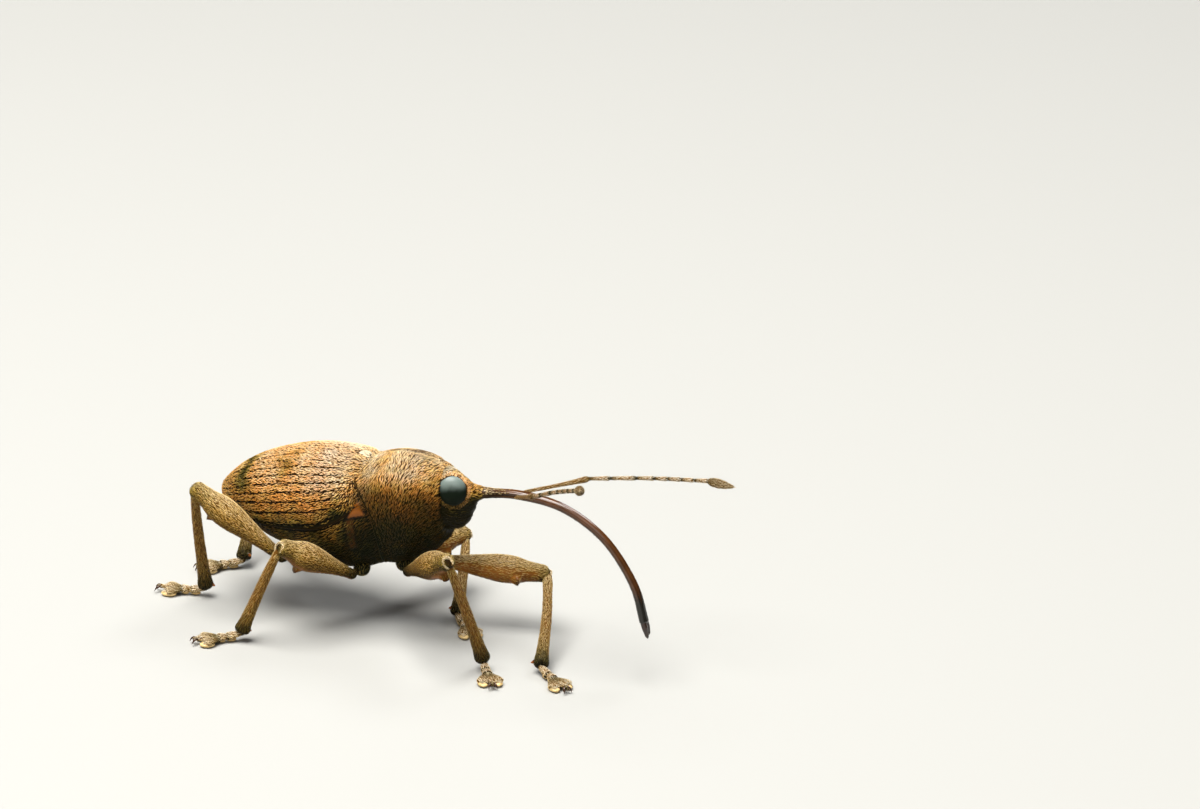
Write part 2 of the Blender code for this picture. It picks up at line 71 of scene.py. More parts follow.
# Sections of the hind body: x, top, bottom, half width, height of the widest line, wing case margin
HIND_ROWS = (
    (1.05, 1.50, -1.60, 1.27, 0.38, 0.86),
    (0.38, 1.68, -1.78, 1.46, 0.35, 0.53),
    (0.00, 1.79, -1.88, 1.68, 0.30, 0.20),
    (-0.75, 1.88, -1.86, 1.80, 0.22, -0.14),
    (-1.55, 1.88, -1.64, 1.79, 0.18, -0.22),
    (-2.40, 1.75, -1.28, 1.64, 0.16, -0.24),
    (-3.20, 1.53, -0.90, 1.36, 0.18, -0.22),
    (-3.90, 1.19, -0.48, 1.02, 0.24, -0.14),
    (-4.35, 0.84, -0.14, 0.68, 0.32, 0.04),
    (-4.56, 0.63, 0.12, 0.38, 0.36, 0.22),
    (-4.64, 0.51, 0.26, 0.12, 0.40, 0.36),
)
WING_POWER = 2.0 / 2.25
BELLY_POWER = 1.0

# Sections of the fore body: x, top, bottom, half width, height of the widest line
FORE_ROWS = (
    (0.15, 1.66, -1.55, 1.42, 0.30),
    (0.52, 1.74, -1.62, 1.42, 0.27),
    (0.90, 1.84, -1.64, 1.46, 0.27),
    (1.40, 1.91, -1.58, 1.44, 0.32),
    (1.95, 1.87, -1.40, 1.30, 0.40),
    (2.40, 1.75, -1.08, 1.05, 0.50),
    (2.80, 1.56, -0.68, 0.77, 0.56),
)
FORE_POWER = 2.0 / 2.1

# Sections of the head, with the power that rounds each: the last one is the root of the snout
HEAD_ROWS = (
    (2.62, 1.52, -0.48, 0.67, 0.38, 0.87),
    (2.86, 1.53, -0.50, 0.61, 0.40, 0.87),
    (3.08, 1.44, -0.46, 0.55, 0.43, 0.88),
    (3.26, 1.30, -0.36, 0.48, 0.46, 0.90),
    (3.42, 1.17, -0.16, 0.40, 0.52, 0.92),
    (3.56, 1.07, 0.11, 0.33, 0.58, 0.95),
    (3.71, 0.99, 0.42, 0.26, 0.68, 0.97),
    (3.94, 0.915, 0.585, 0.175, 0.75, 1.00),
)

# Middle line of the snout with its half width and half height
SNOUT_ROWS = (
    (3.94, 0.0, 0.75, 0.140, 0.132), (5.20, 0.0, 0.745, 0.145, 0.140), (6.55, 0.0, 0.415, 0.138, 0.135),
    (7.75, 0.0, -0.46, 0.130, 0.128), (8.56, 0.0, -1.80, 0.140, 0.130), (8.84, 0.0, -3.06, 0.175, 0.142),
)

# Eyes, and how much the head leans over to its left
EYE_OUTWARD = np.array((0.33, 0.90, 0.29))
EYE_CENTRE = np.array((3.158, 0.50, 0.927))
EYE_RADII = np.array((0.425, 0.455, 0.20))
EYE_SINK = 0.12
EYE_LEAN = np.array((-0.60, 0.0, 0.80))
HEAD_LEAN = 0.21


class Side(Enum):
    """Left or right of the animal, as the sign of Y."""

    LEFT = 1
    RIGHT = -1

    @property
    def word(self) -> str:
        """Return the side's name as the nodes have it."""
        return self.name.lower()

    def mirror(self, point: Array) -> Array:
        """Return a point or vector given for the left side on this side."""
        return np.asarray(point, float) * (1.0, self.value, 1.0)


class Pair(Enum):
    """The three pairs of legs, each with its hip on the left side and the hip's radius."""

    FRONT = ((1.36, 0.39, -1.52), 0.32)
    MIDDLE = ((0.05, 0.68, -1.68), 0.29)
    HIND = ((-1.95, 0.95, -1.28), 0.33)

    @property
    def word(self) -> str:
        """Return the pair's name as the nodes have it."""
        return self.name.lower()


class Mark(Enum):
    """The numbers that a mesh keeps at each point for its material."""

    TONE = "tone"
    HUE = "hue"
    BARE = "bare"
    # Darkness: real grooves, seams and black tips, and painted shade on the snout's lower side, under the
    # wing cases' edge and along their front edge.
    DEEP = "deep"
    # Greyness: grey hairs where the animal has them, and a painted highlight on the body's top and the upper
    # sides of legs and feelers.
    FROST = "frost"


def unit(vectors: Array) -> Array:
    """Return vectors at length one."""
    return vectors / np.maximum(np.linalg.norm(vectors, axis=-1, keepdims=True), 1e-12)


def to_floor(points: Array) -> Array:
    """Carry points from the body's axes to those of the floor."""
    return np.asarray(points, float) @ TURN.T + BODY_PLACE


def to_body(points: Array) -> Array:
    """Carry points from the floor's axes to those of the body."""
    return (np.asarray(points, float) - BODY_PLACE) @ TURN


def step_up(values: Array, low: float, high: float) -> Array:
    """Return a smooth rise from 0 at low to 1 at high."""
    share = np.clip((np.asarray(values, float) - low) / (high - low), 0.0, 1.0)
    return share * share * (3.0 - 2.0 * share)


def hump(values: Array, middle: float, width: float) -> Array:
    """Return a bell of height 1 over a middle."""
    return np.exp(-(((np.asarray(values, float) - middle) / width) ** 2))


def read_curve(rows: Array, place: Array) -> Array:
    """Read a smooth curve through rows of numbers.

    Args:
        rows: The rows that the curve passes through, evenly spaced from place 0 to place 1.
        place: Where to read the curve.

    Returns:
        One row of numbers for each place.
    """
    rows = np.asarray(rows, float)
    padded = np.vstack([2 * rows[0] - rows[1], rows, 2 * rows[-1] - rows[-2]])
    at = np.clip(place, 0.0, 1.0) * (len(rows) - 1)
    first = np.minimum(at.astype(int), len(rows) - 2)
    f = (at - first)[..., None]
    a, b, c, d = (padded[first + i] for i in range(4))
    bend = 2 * a - 5 * b + 4 * c - d
    twist = 3 * b - a - 3 * c + d
    return b + 0.5 * ((c - a) * f + bend * f**2 + twist * f**3)


def swell(points: Array, wavelength: float, seed: int) -> Array:
    """Return a smooth, seeded unevenness in space.

    Args:
        points: Where to read it.
        wavelength: About the distance between its crests.
        seed: Which unevenness to give.

    Returns:
        A number from about -1 to 1 for each point.
    """
    rng = np.random.default_rng(seed)
    waves = unit(rng.normal(size=(7, 3))) * rng.uniform(0.7, 1.4, (7, 1)) * 2 * math.pi / wavelength
    phases = rng.uniform(0.0, 2 * math.pi, 7)
    return np.clip(np.sin(points @ waves.T + phases).sum(axis=-1) / 2.6, -1.0, 1.0)


def patch(x: Array, z: Array, corners: tuple[tuple[float, float], ...]) -> Array:
    """Return how deep points lie inside a side plate.

    Args:
        x: The points' own x.
        z: The points' own z.
        corners: The plate's corners, in clockwise order.

    Returns:
        The distance in from the nearest edge, below 0 outside.
    """
    depths = []
    for (ax, az), (bx, bz) in zip(corners, corners[1:] + corners[:1]):
        depths.append(((bz - az) * (x - ax) - (bx - ax) * (z - az)) / math.hypot(bx - ax, bz - az))
    return np.min(depths, axis=0)


@dataclass(frozen=True)
class Profile:
    """Numbers that run smoothly along a place: the first of each row is the place."""

    rows: tuple[tuple[float, ...], ...]

    @cached_property
    def fine(self) -> Array:
        """Return the profile as many rows in rising order of place."""
        fine = read_curve(self.rows, np.linspace(0.0, 1.0, 24 * len(self.rows)))
        return fine[np.argsort(fine[:, 0])]

    def read(self, place: Array) -> list[Array]:
        """Read the profile.

        Args:
            place: Where to read it, in the units of the rows' first numbers.

        Returns:
            One array for each of the rows' other numbers.
        """
        return [np.interp(place, self.fine[:, 0], self.fine[:, k]) for k in range(1, self.fine.shape[1])]


HIND = Profile(HIND_ROWS)
FORE = Profile(FORE_ROWS)
HEAD = Profile(HEAD_ROWS)
EDGE = Profile(HIND_EDGE)


def rounded(angle: Array, power: Array | float) -> tuple[Array, Array]:
    """Return an angle's cosine and sine, squared off by a power under one."""
    cosine, sine = np.cos(angle), np.sin(angle)
    return np.sign(cosine) * np.abs(cosine) ** power, np.sign(sine) * np.abs(sine) ** power


def on_section(
    columns: list[Array], angle: Array, power: Array | float, inset: Array | float
) -> tuple[Array, Array]:
    """Place points on sections of the body.

    Args:
        columns: Top, bottom, half width and height of the widest line of each section.
        angle: Direction from the section's middle, 0 to the left and a quarter turn up.
        power: How square the section is, one for an ellipse.
        inset: How far inside the section the points lie.

    Returns:
        The points' y and z.
    """
    top, bottom, half, widest = columns[:4]
    across, rise = rounded(angle, power)
    reach = np.where(np.sin(angle) > 0, top - widest, widest - bottom)
    return across * np.maximum(half - inset, 0.01), widest + rise * np.maximum(reach - inset, 0.01)


def angle_at(columns: list[Array], height: Array, power: float) -> Array:
    """Return the angle on each section at a height."""
    top, bottom, _, widest = columns[:4]
    drop = height - widest
    reach = np.where(drop > 0, top - widest, widest - bottom)
    share = np.clip(np.abs(drop) / reach, 0.0, 1.0)
    return np.sign(drop) * np.arcsin(share ** (1.0 / power))


class Surface:
    """A skin that is read from two places: u across it and v along it, both from 0 to 1."""

    wraps = True
    outward = 1.0

    def place(self, u: Array, v: Array) -> Array:
        """Return points on the skin, over the floor."""
        raise NotImplementedError

    def slopes(self, u: Array, v: Array, step: float = 1e-3) -> tuple[Array, Array]:
        """Return how a point moves with u and with v."""
        low, high = np.clip(v - step, 0.0, 1.0), np.clip(v + step, 0.0, 1.0)
        along = (self.place(u, high) - self.place(u, low)) / (high - low)[..., None]
        left, right = u - step, u + step
        if not self.wraps:
            left, right = np.clip(left, 0.0, 1.0), np.clip(right, 0.0, 1.0)
        across = (self.place(right, v) - self.place(left, v)) / (right - left)[..., None]
        return across, along

    def normal(self, u: Array, v: Array) -> Array:
        """Return the direction out of the skin at each place."""
        across, along = self.slopes(u, v)
        return unit(np.cross(across, along)) * self.outward

    def marks(self, u: Array, v: Array) -> dict[Mark, Array]:
        """Return the numbers for the material at each place."""
        body = to_body(self.place(u, v))
        return {
            Mark.TONE: MARKINGS.tone(body),
            Mark.HUE: MARKINGS.hue(body),
            Mark.FROST: MARKINGS.frost(body),
        }

    def grid(self, count_u: int, count_v: int) -> tuple[Array, Array]:
        """Return u and v for each point of the rings."""
        u = np.linspace(0.0, 1.0, count_u, endpoint=not self.wraps)
        v, u = np.meshgrid(np.linspace(0.0, 1.0, count_v), u, indexing="ij")
        return u, v

    def rings(self, count_u: int, count_v: int) -> Array:
        """Return a grid of points, one ring for each step along the skin."""
        return self.place(*self.grid(count_u, count_v))

    def grid_marks(self, count_u: int, count_v: int) -> dict[Mark, Array]:
        """Return the numbers for the material at each of the rings' points."""
        return self.marks(*self.grid(count_u, count_v))


@dataclass
class PronotumSkin(Surface):
    """The shell of the fore body, from its waved hind edge to the collar round the head."""

    roll: float = 0.022
    front: float = 2.77

    def place(self, u: Array, v: Array) -> Array:
        """Return points on the shell, over the floor."""
        angle = 2 * np.pi * u - np.pi / 2
        (hind,) = EDGE.read(np.abs(2 * u - 1))
        body = np.clip((v - self.roll) / (1 - 2 * self.roll), 0.0, 1.0)
        x = hind + (self.front + 0.04 * np.sin(angle) - hind) * body
        rolled = np.clip((self.roll - v) / self.roll, 0, 1) + np.clip((v - 1 + self.roll) / self.roll, 0, 1)
        collar = 0.030 * hump(body, 0.90, 0.035) - 0.012 * hump(body, 1.0, 0.03)
        hem = 0.020 * hump(body, 0.070, 0.018) - 0.020 * hump(body, 0.020, 0.018)
        inset = COAT_DEPTH + 0.13 * rolled**2 + collar + hem
        y, z = on_section(FORE.read(x), angle, FORE_POWER, inset)
        x = x - 0.03 * rolled * (body < 0.5) + 0.02 * rolled * (body > 0.5)
        return to_floor(np.stack([x, y, z], axis=-1))


@dataclass
class WingSkin(Surface):
    """The outside of one wing case, from its margin at u 0 to the seam at u 1."""

    side: Side
    grooves: int = 10
    groove_width: float = 0.0105
    groove_depth: float = 0.042
    end: float = -4.62
    seam: float = 0.012

    wraps = False

    def __post_init__(self) -> None:
        """Set which way is out."""
        self.outward = -float(self.side.value)

    def across_groove(self, u: Array, x: Array) -> Array:
        """Return how far u is from the nearest groove, in steps of u."""
        index = np.clip(np.floor(u * self.grooves), 0, self.grooves - 1)
        waver = 0.0040 * np.sin(2 * np.pi * x / 0.23 + 2.4 * index)
        waver = waver + 0.0022 * np.sin(2 * np.pi * x / 0.61 + index)
        return u - (index + 0.5) / self.grooves - waver

    @staticmethod
    def faint(u: Array, x: Array) -> Array:
        """Return how far the hairs close over the grooves, from 0 low on the side to 1 by the seam."""
        return step_up(u, 0.55, 0.85) * step_up(x, -3.2, -2.2)

    def angle(self, columns: list[Array], u: Array) -> Array:
        """Return the angle of u on each section."""
        low = angle_at(columns, columns[4], WING_POWER)
        high = np.arccos(np.clip(self.seam / columns[2], 0.0, 1.0) ** (1.0 / WING_POWER))
        return low + (high - low) * u

    def run(self, u: Array, v: Array) -> Array:
        """Return x for each place, close together towards the rear end."""
        (edge,) = EDGE.read(0.45 * (1 - u))
        end = self.end + 0.06 * step_up(u, 0.75, 1.0) + 0.06 * step_up(0.2 - u, 0.0, 0.2)
        return (edge + 0.04) + (end - edge - 0.04) * np.sin(np.pi / 2 * v)

    def place(self, u: Array, v: Array) -> Array:
        """Return points on the wing case, over the floor."""
        x = self.run(u, v)
        columns = HIND.read(x)
        off = self.across_groove(u, x)
        index = np.floor(u * self.grooves)
        pits = 1.0 + 0.55 * np.sin(2 * np.pi * x / 0.155 + 1.7 * index)
        fade = step_up(columns[2], 0.1, 0.7)
        groove = self.groove_depth * hump(off, 0.0, self.groove_width) * pits * fade
        groove = groove * (1 - 0.45 * self.faint(u, x))
        crown = 0.014 * (1 - (2 * off * self.grooves) ** 2) * fade
        shoulder = 0.05 * hump(u, 0.36, 0.16) * hump(x, 0.18, 0.34)
        angle = self.angle(columns, u)
        fall = 1 - step_up(self.run(u, np.zeros_like(v)) - x, 0.0, 0.42)
        lip = 0.14 * np.abs(np.cos(angle)) * fall + 0.05 * step_up(0.006 - v, 0.0, 0.006)
        lip = lip + 0.04 * step_up(0.012 - u, 0.0, 0.012) + 0.02 * hump(u, 0.030, 0.006)
        lip = lip + 0.035 * step_up(u, 0.985, 1.0)
        inset = COAT_DEPTH + groove - crown - shoulder + lip
        y, z = on_section(columns, angle, WING_POWER, inset)
        return to_floor(np.stack([x, self.side.value * np.maximum(y, self.seam), z], axis=-1))

    def marks(self, u: Array, v: Array) -> dict[Mark, Array]:
        """Return the numbers for the material, dark in the grooves and at the margin line, with a painted
        shade along the front edge where it meets the fore body.
        """
        found = super().marks(u, v)
        x = self.run(u, v)
        groove = hump(self.across_groove(u, x), 0.0, self.groove_width * 0.85)
        strip = 1 - step_up(u, 0.020, 0.026)
        found[Mark.DEEP] = 0.92 * groove * (1 - strip) * (1 - 0.5 * self.faint(u, x))
        # Painted shade: the second part darkens the wing case's front edge, where it meets the fore body.
        edges = 0.8 * hump(u, 0.030, 0.006) + 1 - step_up(v, 0.003, 0.012)
        found[Mark.DEEP] = np.clip(found[Mark.DEEP] + edges, 0, 1)
        found[Mark.TONE] = found[Mark.TONE] * (1 - strip) + 0.42 * strip
        return found

    def closed_rings(self, count_u: int, count_v: int) -> Array:
        """Return rings that go back under the wing case, so that it is a closed solid."""
        outer = self.rings(count_u, count_v)
        body = to_body(outer)
        seam = body[:, -1].copy()
        margin = body[:, 0].copy()
        margin[:, 1] -= self.side.value * np.minimum(0.12, np.abs(margin[:, 1]) * 0.5)
        margin[:, 2] += 0.01
        seam[:, 2] = np.minimum(seam[:, 2] - 0.02, margin[:, 2] + 0.10)
        share = np.linspace(0.0, 1.0, 5)[:, None]
        back = seam[:, None] + (margin - seam)[:, None] * share
        return np.concatenate([outer, to_floor(back)], axis=1)


@dataclass
class BellySkin(Surface):
    """The underside from wing case to wing case, with u 0 and 1 hidden under the margins."""

    inset: float = 0.075
    end: float = -4.52
    ring_places: tuple[float, ...] = (-2.45, -2.98, -3.42, -3.76, -4.04)
    upper_plate: tuple[tuple[float, float], ...] = ((0.13, 0.20), (0.30, 0.64), (0.44, 0.70), (0.62, 0.26))
    lower_plate: tuple[tuple[float, float], ...] = ((0.05, -0.80), (0.08, 0.16), (0.28, 0.20), (0.22, -0.82))
    wraps = False
    outward = -1.0

    def angle(self, columns: list[Array], u: Array) -> Array:
        """Return the angle of u on each section."""
        high = angle_at(columns, columns[4] + 0.12, BELLY_POWER)
        return -np.pi - high + (np.pi + 2 * high) * u

    def place(self, u: Array, v: Array) -> Array:
        """Return points on the underside, over the floor."""
        (edge,) = EDGE.read(0.41 + 0.59 * (1 - np.abs(2 * u - 1)))
        start = edge + 0.07
        x = start + (self.end - start) * np.sin(np.pi / 2 * v)
        columns = HIND.read(x)
        angle = self.angle(columns, u)
        low = step_up(-np.sin(angle), 0.15, 0.5)
        grooves = sum(hump(x, at, 0.022) for at in self.ring_places) * 0.035 * (0.35 + 0.65 * low)
        lap = sum(step_up(x, at, at + 0.16) * (x < at + 0.16) for at in self.ring_places) * 0.015
        tuck = 0.30 * (1 - np.sqrt(np.clip(1 - np.clip((-4.05 - x) / 0.50, 0, 1) ** 2, 0, 1)))
        strip = 0.020 * hump(np.sin(angle), -0.13, 0.03) * step_up(x, -2.6, -2.2) * step_up(-x, -0.2, 0.1)
        middle = 0.05 * hump(np.cos(angle), 0.0, 0.06) * step_up(x, -2.1, -1.6) * step_up(-x, 0.0, 0.4)
        inset = self.inset + grooves - lap + tuck + strip + middle
        _, z = on_section(columns, angle, BELLY_POWER, inset)
        plates = 0.035 * step_up(patch(x, z, self.upper_plate), -0.02, 0.07)
        plates = plates + 0.012 * step_up(patch(x, z, self.lower_plate), -0.02, 0.04)
        y, z = on_section(columns, angle, BELLY_POWER, inset - plates)
        return to_floor(np.stack([x, y, z], axis=-1))

    def marks(self, u: Array, v: Array) -> dict[Mark, Array]:
        """Return the numbers for the material: bare at the small plates, dark in the grooves, and a painted
        shade just under the wing cases' edge.
        """
        found = super().marks(u, v)
        body = to_body(self.place(u, v))
        x, z = body[..., 0], body[..., 2]
        upper, lower = patch(x, z, self.upper_plate), patch(x, z, self.lower_plate)
        under = HIND.read(x)[4] - z
        behind = step_up(-x, -0.2, 0.2)
        found[Mark.BARE] = np.clip(step_up(upper, -0.02, 0.02) + 0.21 * step_up(lower, -0.02, 0.03), 0.0, 1.0)
        found[Mark.TONE] = found[Mark.TONE] - 0.03 + 0.28 * hump(under, 0.34, 0.44) * behind
        low = step_up(0.1 - z, 0.0, 0.5)
        seams = 0.8 * sum(hump(x, at, 0.03) for at in self.ring_places) * low
        edges = 0.9 * hump(upper, -0.02, 0.028) + 0.8 * hump(lower, -0.02, 0.028)
        # Painted shade: the last term darkens a band just under the wing cases' edge.
        found[Mark.DEEP] = np.clip(seams + edges + 0.9 * hump(under, 0.02, 0.05) * behind, 0.0, 1.0)
        return found


@dataclass
class HeadSkin(Surface):
    """The head, from the neck inside the collar to the root of the snout."""

    def place(self, u: Array, v: Array) -> Array:
        """Return points on the head, over the floor."""
        angle = 2 * np.pi * u - np.pi / 2
        x = HEAD_ROWS[0][0] + (HEAD_ROWS[-1][0] - HEAD_ROWS[0][0]) * v
        columns = HEAD.read(x)
        inset = COAT_DEPTH * 0.8 * (1 - step_up(x, 3.55, 3.90))
        y, z = on_section(columns, angle, columns[4], inset)
        lean = HEAD_LEAN * step_up(x, 2.62, 2.95) * (1 - step_up(x, 3.60, 3.94))
        points = np.stack([x, y, z - lean * y], axis=-1)
        for side in Side:
            points = points + self._brow(points, side)
        return to_floor(points)

    def marks(self, u: Array, v: Array) -> dict[Mark, Array]:
        """Return the numbers for the material: cream over the face, and nearly black on the cheeks, partly as
        painted shade under the head.
        """
        body = to_body(self.place(u, v))
        x, z = body[..., 0], body[..., 2]
        # Partly painted shade: the face goes from cream on the crown to nearly black on the cheeks below.
        crown = step_up(z, 0.45, 0.85)
        nape = 1 - step_up(x, 2.70, 2.95)
        strip = hump(x, 2.88, 0.14) * step_up(z, 0.35, 0.75)
        return {
            Mark.TONE: 0.01 + 0.61 * crown - 0.16 * nape + 0.10 * strip + 0.06 * swell(body, 0.4, 17),
            Mark.HUE: 0.22 + 0.35 * hump(x, 3.55, 0.2) * crown + 0.15 * swell(body, 0.4, 18),
            Mark.BARE: 0.06 * (1 - crown) * np.ones_like(x),
            Mark.DEEP: np.zeros_like(x),
            Mark.FROST: np.clip(0.75 * strip + 0.2 * step_up(z, 1.0, 1.3), 0.0, 1.0),
        }

    @staticmethod
    def _brow(points: Array, side: Side) -> Array:
        """Return how points near one eye move out to the raised rim round it."""
        axes = eye_axes(side)
        local = (points - eye_middle(side)) @ axes
        ring = np.hypot(local[..., 0] / EYE_RADII[0], local[..., 1] / EYE_RADII[1])
        near = step_up(side.value * points[..., 1], 0.05, 0.25)
        near = near * (1 - 0.8 * step_up(points[..., 2], 0.95, 1.25))
        rise = 0.034 * hump(ring, 1.03, 0.08) - 0.016 * hump(ring, 1.25, 0.09)
        return axes[:, 2] * (rise * near)[..., None]


@dataclass
class SnoutSkin(Surface):
    """The long curved snout, as if drawn along its middle line."""

    ridges: int = 9
    feeler_at: float = 0.226
    flare: float = 0.039

    def place(self, u: Array, v: Array) -> Array:
        """Return points on the snout, over the floor."""
        angle = 2 * np.pi * u - np.pi / 2
        rows = read_curve(SNOUT_ROWS, v)
        step = 2e-3
        ahead = unit(read_curve(SNOUT_ROWS, v + step)[..., :3] - read_curve(SNOUT_ROWS, v - step)[..., :3])
        up = np.stack([-ahead[..., 2], np.zeros_like(v), ahead[..., 0]], axis=-1)
        base = 1 - 0.65 * step_up(v, 0.10, 0.30)
        ribs = 0.0055 * np.cos(self.ridges * angle) * base
        flute = -0.028 * (hump(np.cos(angle), 1.0, 0.05) + hump(np.cos(angle), -1.0, 0.05))
        flute = flute * hump(v, self.feeler_at - 0.10, 0.09)
        swollen = 0.014 * hump(v, self.feeler_at, 0.035)
        shut = 1 - 0.45 * step_up(v, 0.985, 1.0)
        flared = self.flare * (1 - step_up(v, 0.0, 0.075))
        across = np.cos(angle) * ((rows[..., 3] + flared) * shut + ribs + flute + swollen)
        rise = np.sin(angle) * ((rows[..., 4] + flared) * shut + ribs)
        side = np.array((0.0, 1.0, 0.0))
        return to_floor(rows[..., :3] + across[..., None] * side + rise[..., None] * up)

    def marks(self, u: Array, v: Array) -> dict[Mark, Array]:
        """Return the numbers for the material: scaly at the root, then chestnut, then black at the tip, with
        a painted shade along the lower side.
        """
        height = np.sin(2 * np.pi * u - np.pi / 2)
        scaly = 1 - step_up(v, 0.05, 0.16)
        tip = step_up(v, 0.80, 0.94)
        streaks = 0.17 * np.cos(self.ridges * 2 * np.pi * u) + 0.30 * step_up(v, 0.35, 0.80)
        flute = hump(np.abs(np.cos(2 * np.pi * u - np.pi / 2)), 1.0, 0.08)
        flute = flute * hump(v, self.feeler_at - 0.1, 0.09)
        return {
            Mark.TONE: 0.42 + 0.30 * height * scaly - 0.3 * tip,
            Mark.HUE: 0.20 + 0.2 * v,
            Mark.BARE: np.clip(1 - 0.75 * scaly, 0.0, 1.0),
            # Painted shade: the last term darkens the snout's lower side.
            Mark.DEEP: np.clip(tip + 0.6 * flute + streaks + 0.7 * step_up(-height, 0.25, 0.85), 0.0, 1.0),
            Mark.FROST: 0.6 * scaly,
        }


@dataclass
class Limb(Surface):
    """A round skin along a bent middle line, given over the floor.

    The radius profile's rows are place, radius. Angle 0 faces the side vector.
    """

    line: Array
    radii: Profile
    side: Array
    flat: float = 1.0
    tooth: float = 0.0
    tooth_at: float = 0.765
    tint: Profile = Profile(((0.0, 0.5, 0.5, 0.0), (0.5, 0.5, 0.5, 0.0), (1.0, 0.5, 0.5, 0.0)))
    bare_belly: float = 0.0
    light_back: float = 0.0
    frost: float = 0.0

    def place(self, u: Array, v: Array) -> Array:
        """Return points on the limb, over the floor."""
        angle = 2 * np.pi * u
        step = 4e-3
        middle = read_curve(self.line, v)
        ahead = unit(read_curve(self.line, v + step) - read_curve(self.line, v - step))
        first = unit(self.side - (ahead @ self.side)[..., None] * ahead)
        second = np.cross(ahead, first)
        (radius,) = self.radii.read(v)
        if self.tooth:
            off = v - self.tooth_at
            radius = radius + self.tooth * self._point(off) * hump(np.cos(angle), -1.0, 0.055)
        return (
            middle
            + (radius * np.cos(angle))[..., None] * first
            + (radius * self.flat * np.sin(angle))[..., None] * second
        )

    @staticmethod
    def _point(off: Array) -> Array:
        """Return how far the tooth stands out at a place before or behind its tip, from 0 to 1."""
        return np.clip(1 - np.where(off < 0, -off / 0.065, off / 0.022), 0.0, 1.0) ** 1.35

    def marks(self, u: Array, v: Array) -> dict[Mark, Array]:
        """Return the numbers for the material: lighter, creamier and greyer on the upward side, partly paler
        hair and partly a painted highlight, and bare on the inner side.
        """
        tone, hue, bare = self.tint.read(v)
        # Painted highlight in part: the upward side is made lighter, less orange and greyer, over the paler
        # hair of the upper side.
        upward = self.normal(u, v)[..., 2]
        inner = step_up(-np.cos(2 * np.pi * u), 0.35, 0.8) * (1 - step_up(v, 0.90, 0.96))
        point = step_up(self._point(v - self.tooth_at), 0.3, 0.9) * hump(np.cos(2 * np.pi * u), -1.0, 0.06)
        return {
            Mark.TONE: tone + self.light_back * upward,
            Mark.HUE: hue - 0.25 * np.clip(upward, 0.0, 1.0),
            Mark.BARE: np.clip(bare + self.bare_belly * inner, 0.0, 1.0),
            Mark.DEEP: min(4 * self.tooth, 0.8) * point,
            Mark.FROST: np.clip(self.frost + 0.35 * np.clip(upward, 0.0, 1.0), 0.0, 1.0),
        }


@dataclass
class Ball(Surface):
    """An ellipsoid over the floor, with its poles on the last of its axes."""

    centre: Array
    radii: Array
    axes: Array = field(default_factory=lambda: np.eye(3))

    def place(self, u: Array, v: Array) -> Array:
        """Return points on the ball, over the floor."""
        turn = 2 * np.pi * u
        fall = np.pi * np.clip(v, 0.001, 0.999)
        local = np.stack([np.sin(fall) * np.cos(turn), np.sin(fall) * np.sin(turn), -np.cos(fall)], axis=-1)
        return self.centre + (local * self.radii) @ self.axes.T


def eye_axes(side: Side) -> Array:
    """Return one eye's axes as columns: across, along its length and outward."""
    outward = unit(side.mirror(EYE_OUTWARD))
    along = unit(EYE_LEAN - (EYE_LEAN @ outward) * outward)
    return np.stack([np.cross(along, outward), along, outward], axis=1)


def eye_middle(side: Side) -> Array:
    """Return the middle of one eye's ellipsoid in the body's axes."""
    centre = side.mirror(EYE_CENTRE) - eye_axes(side)[:, 2] * EYE_SINK
    return centre - (0.0, 0.0, HEAD_LEAN * (centre[1] + EYE_CENTRE[1] - EYE_SINK))


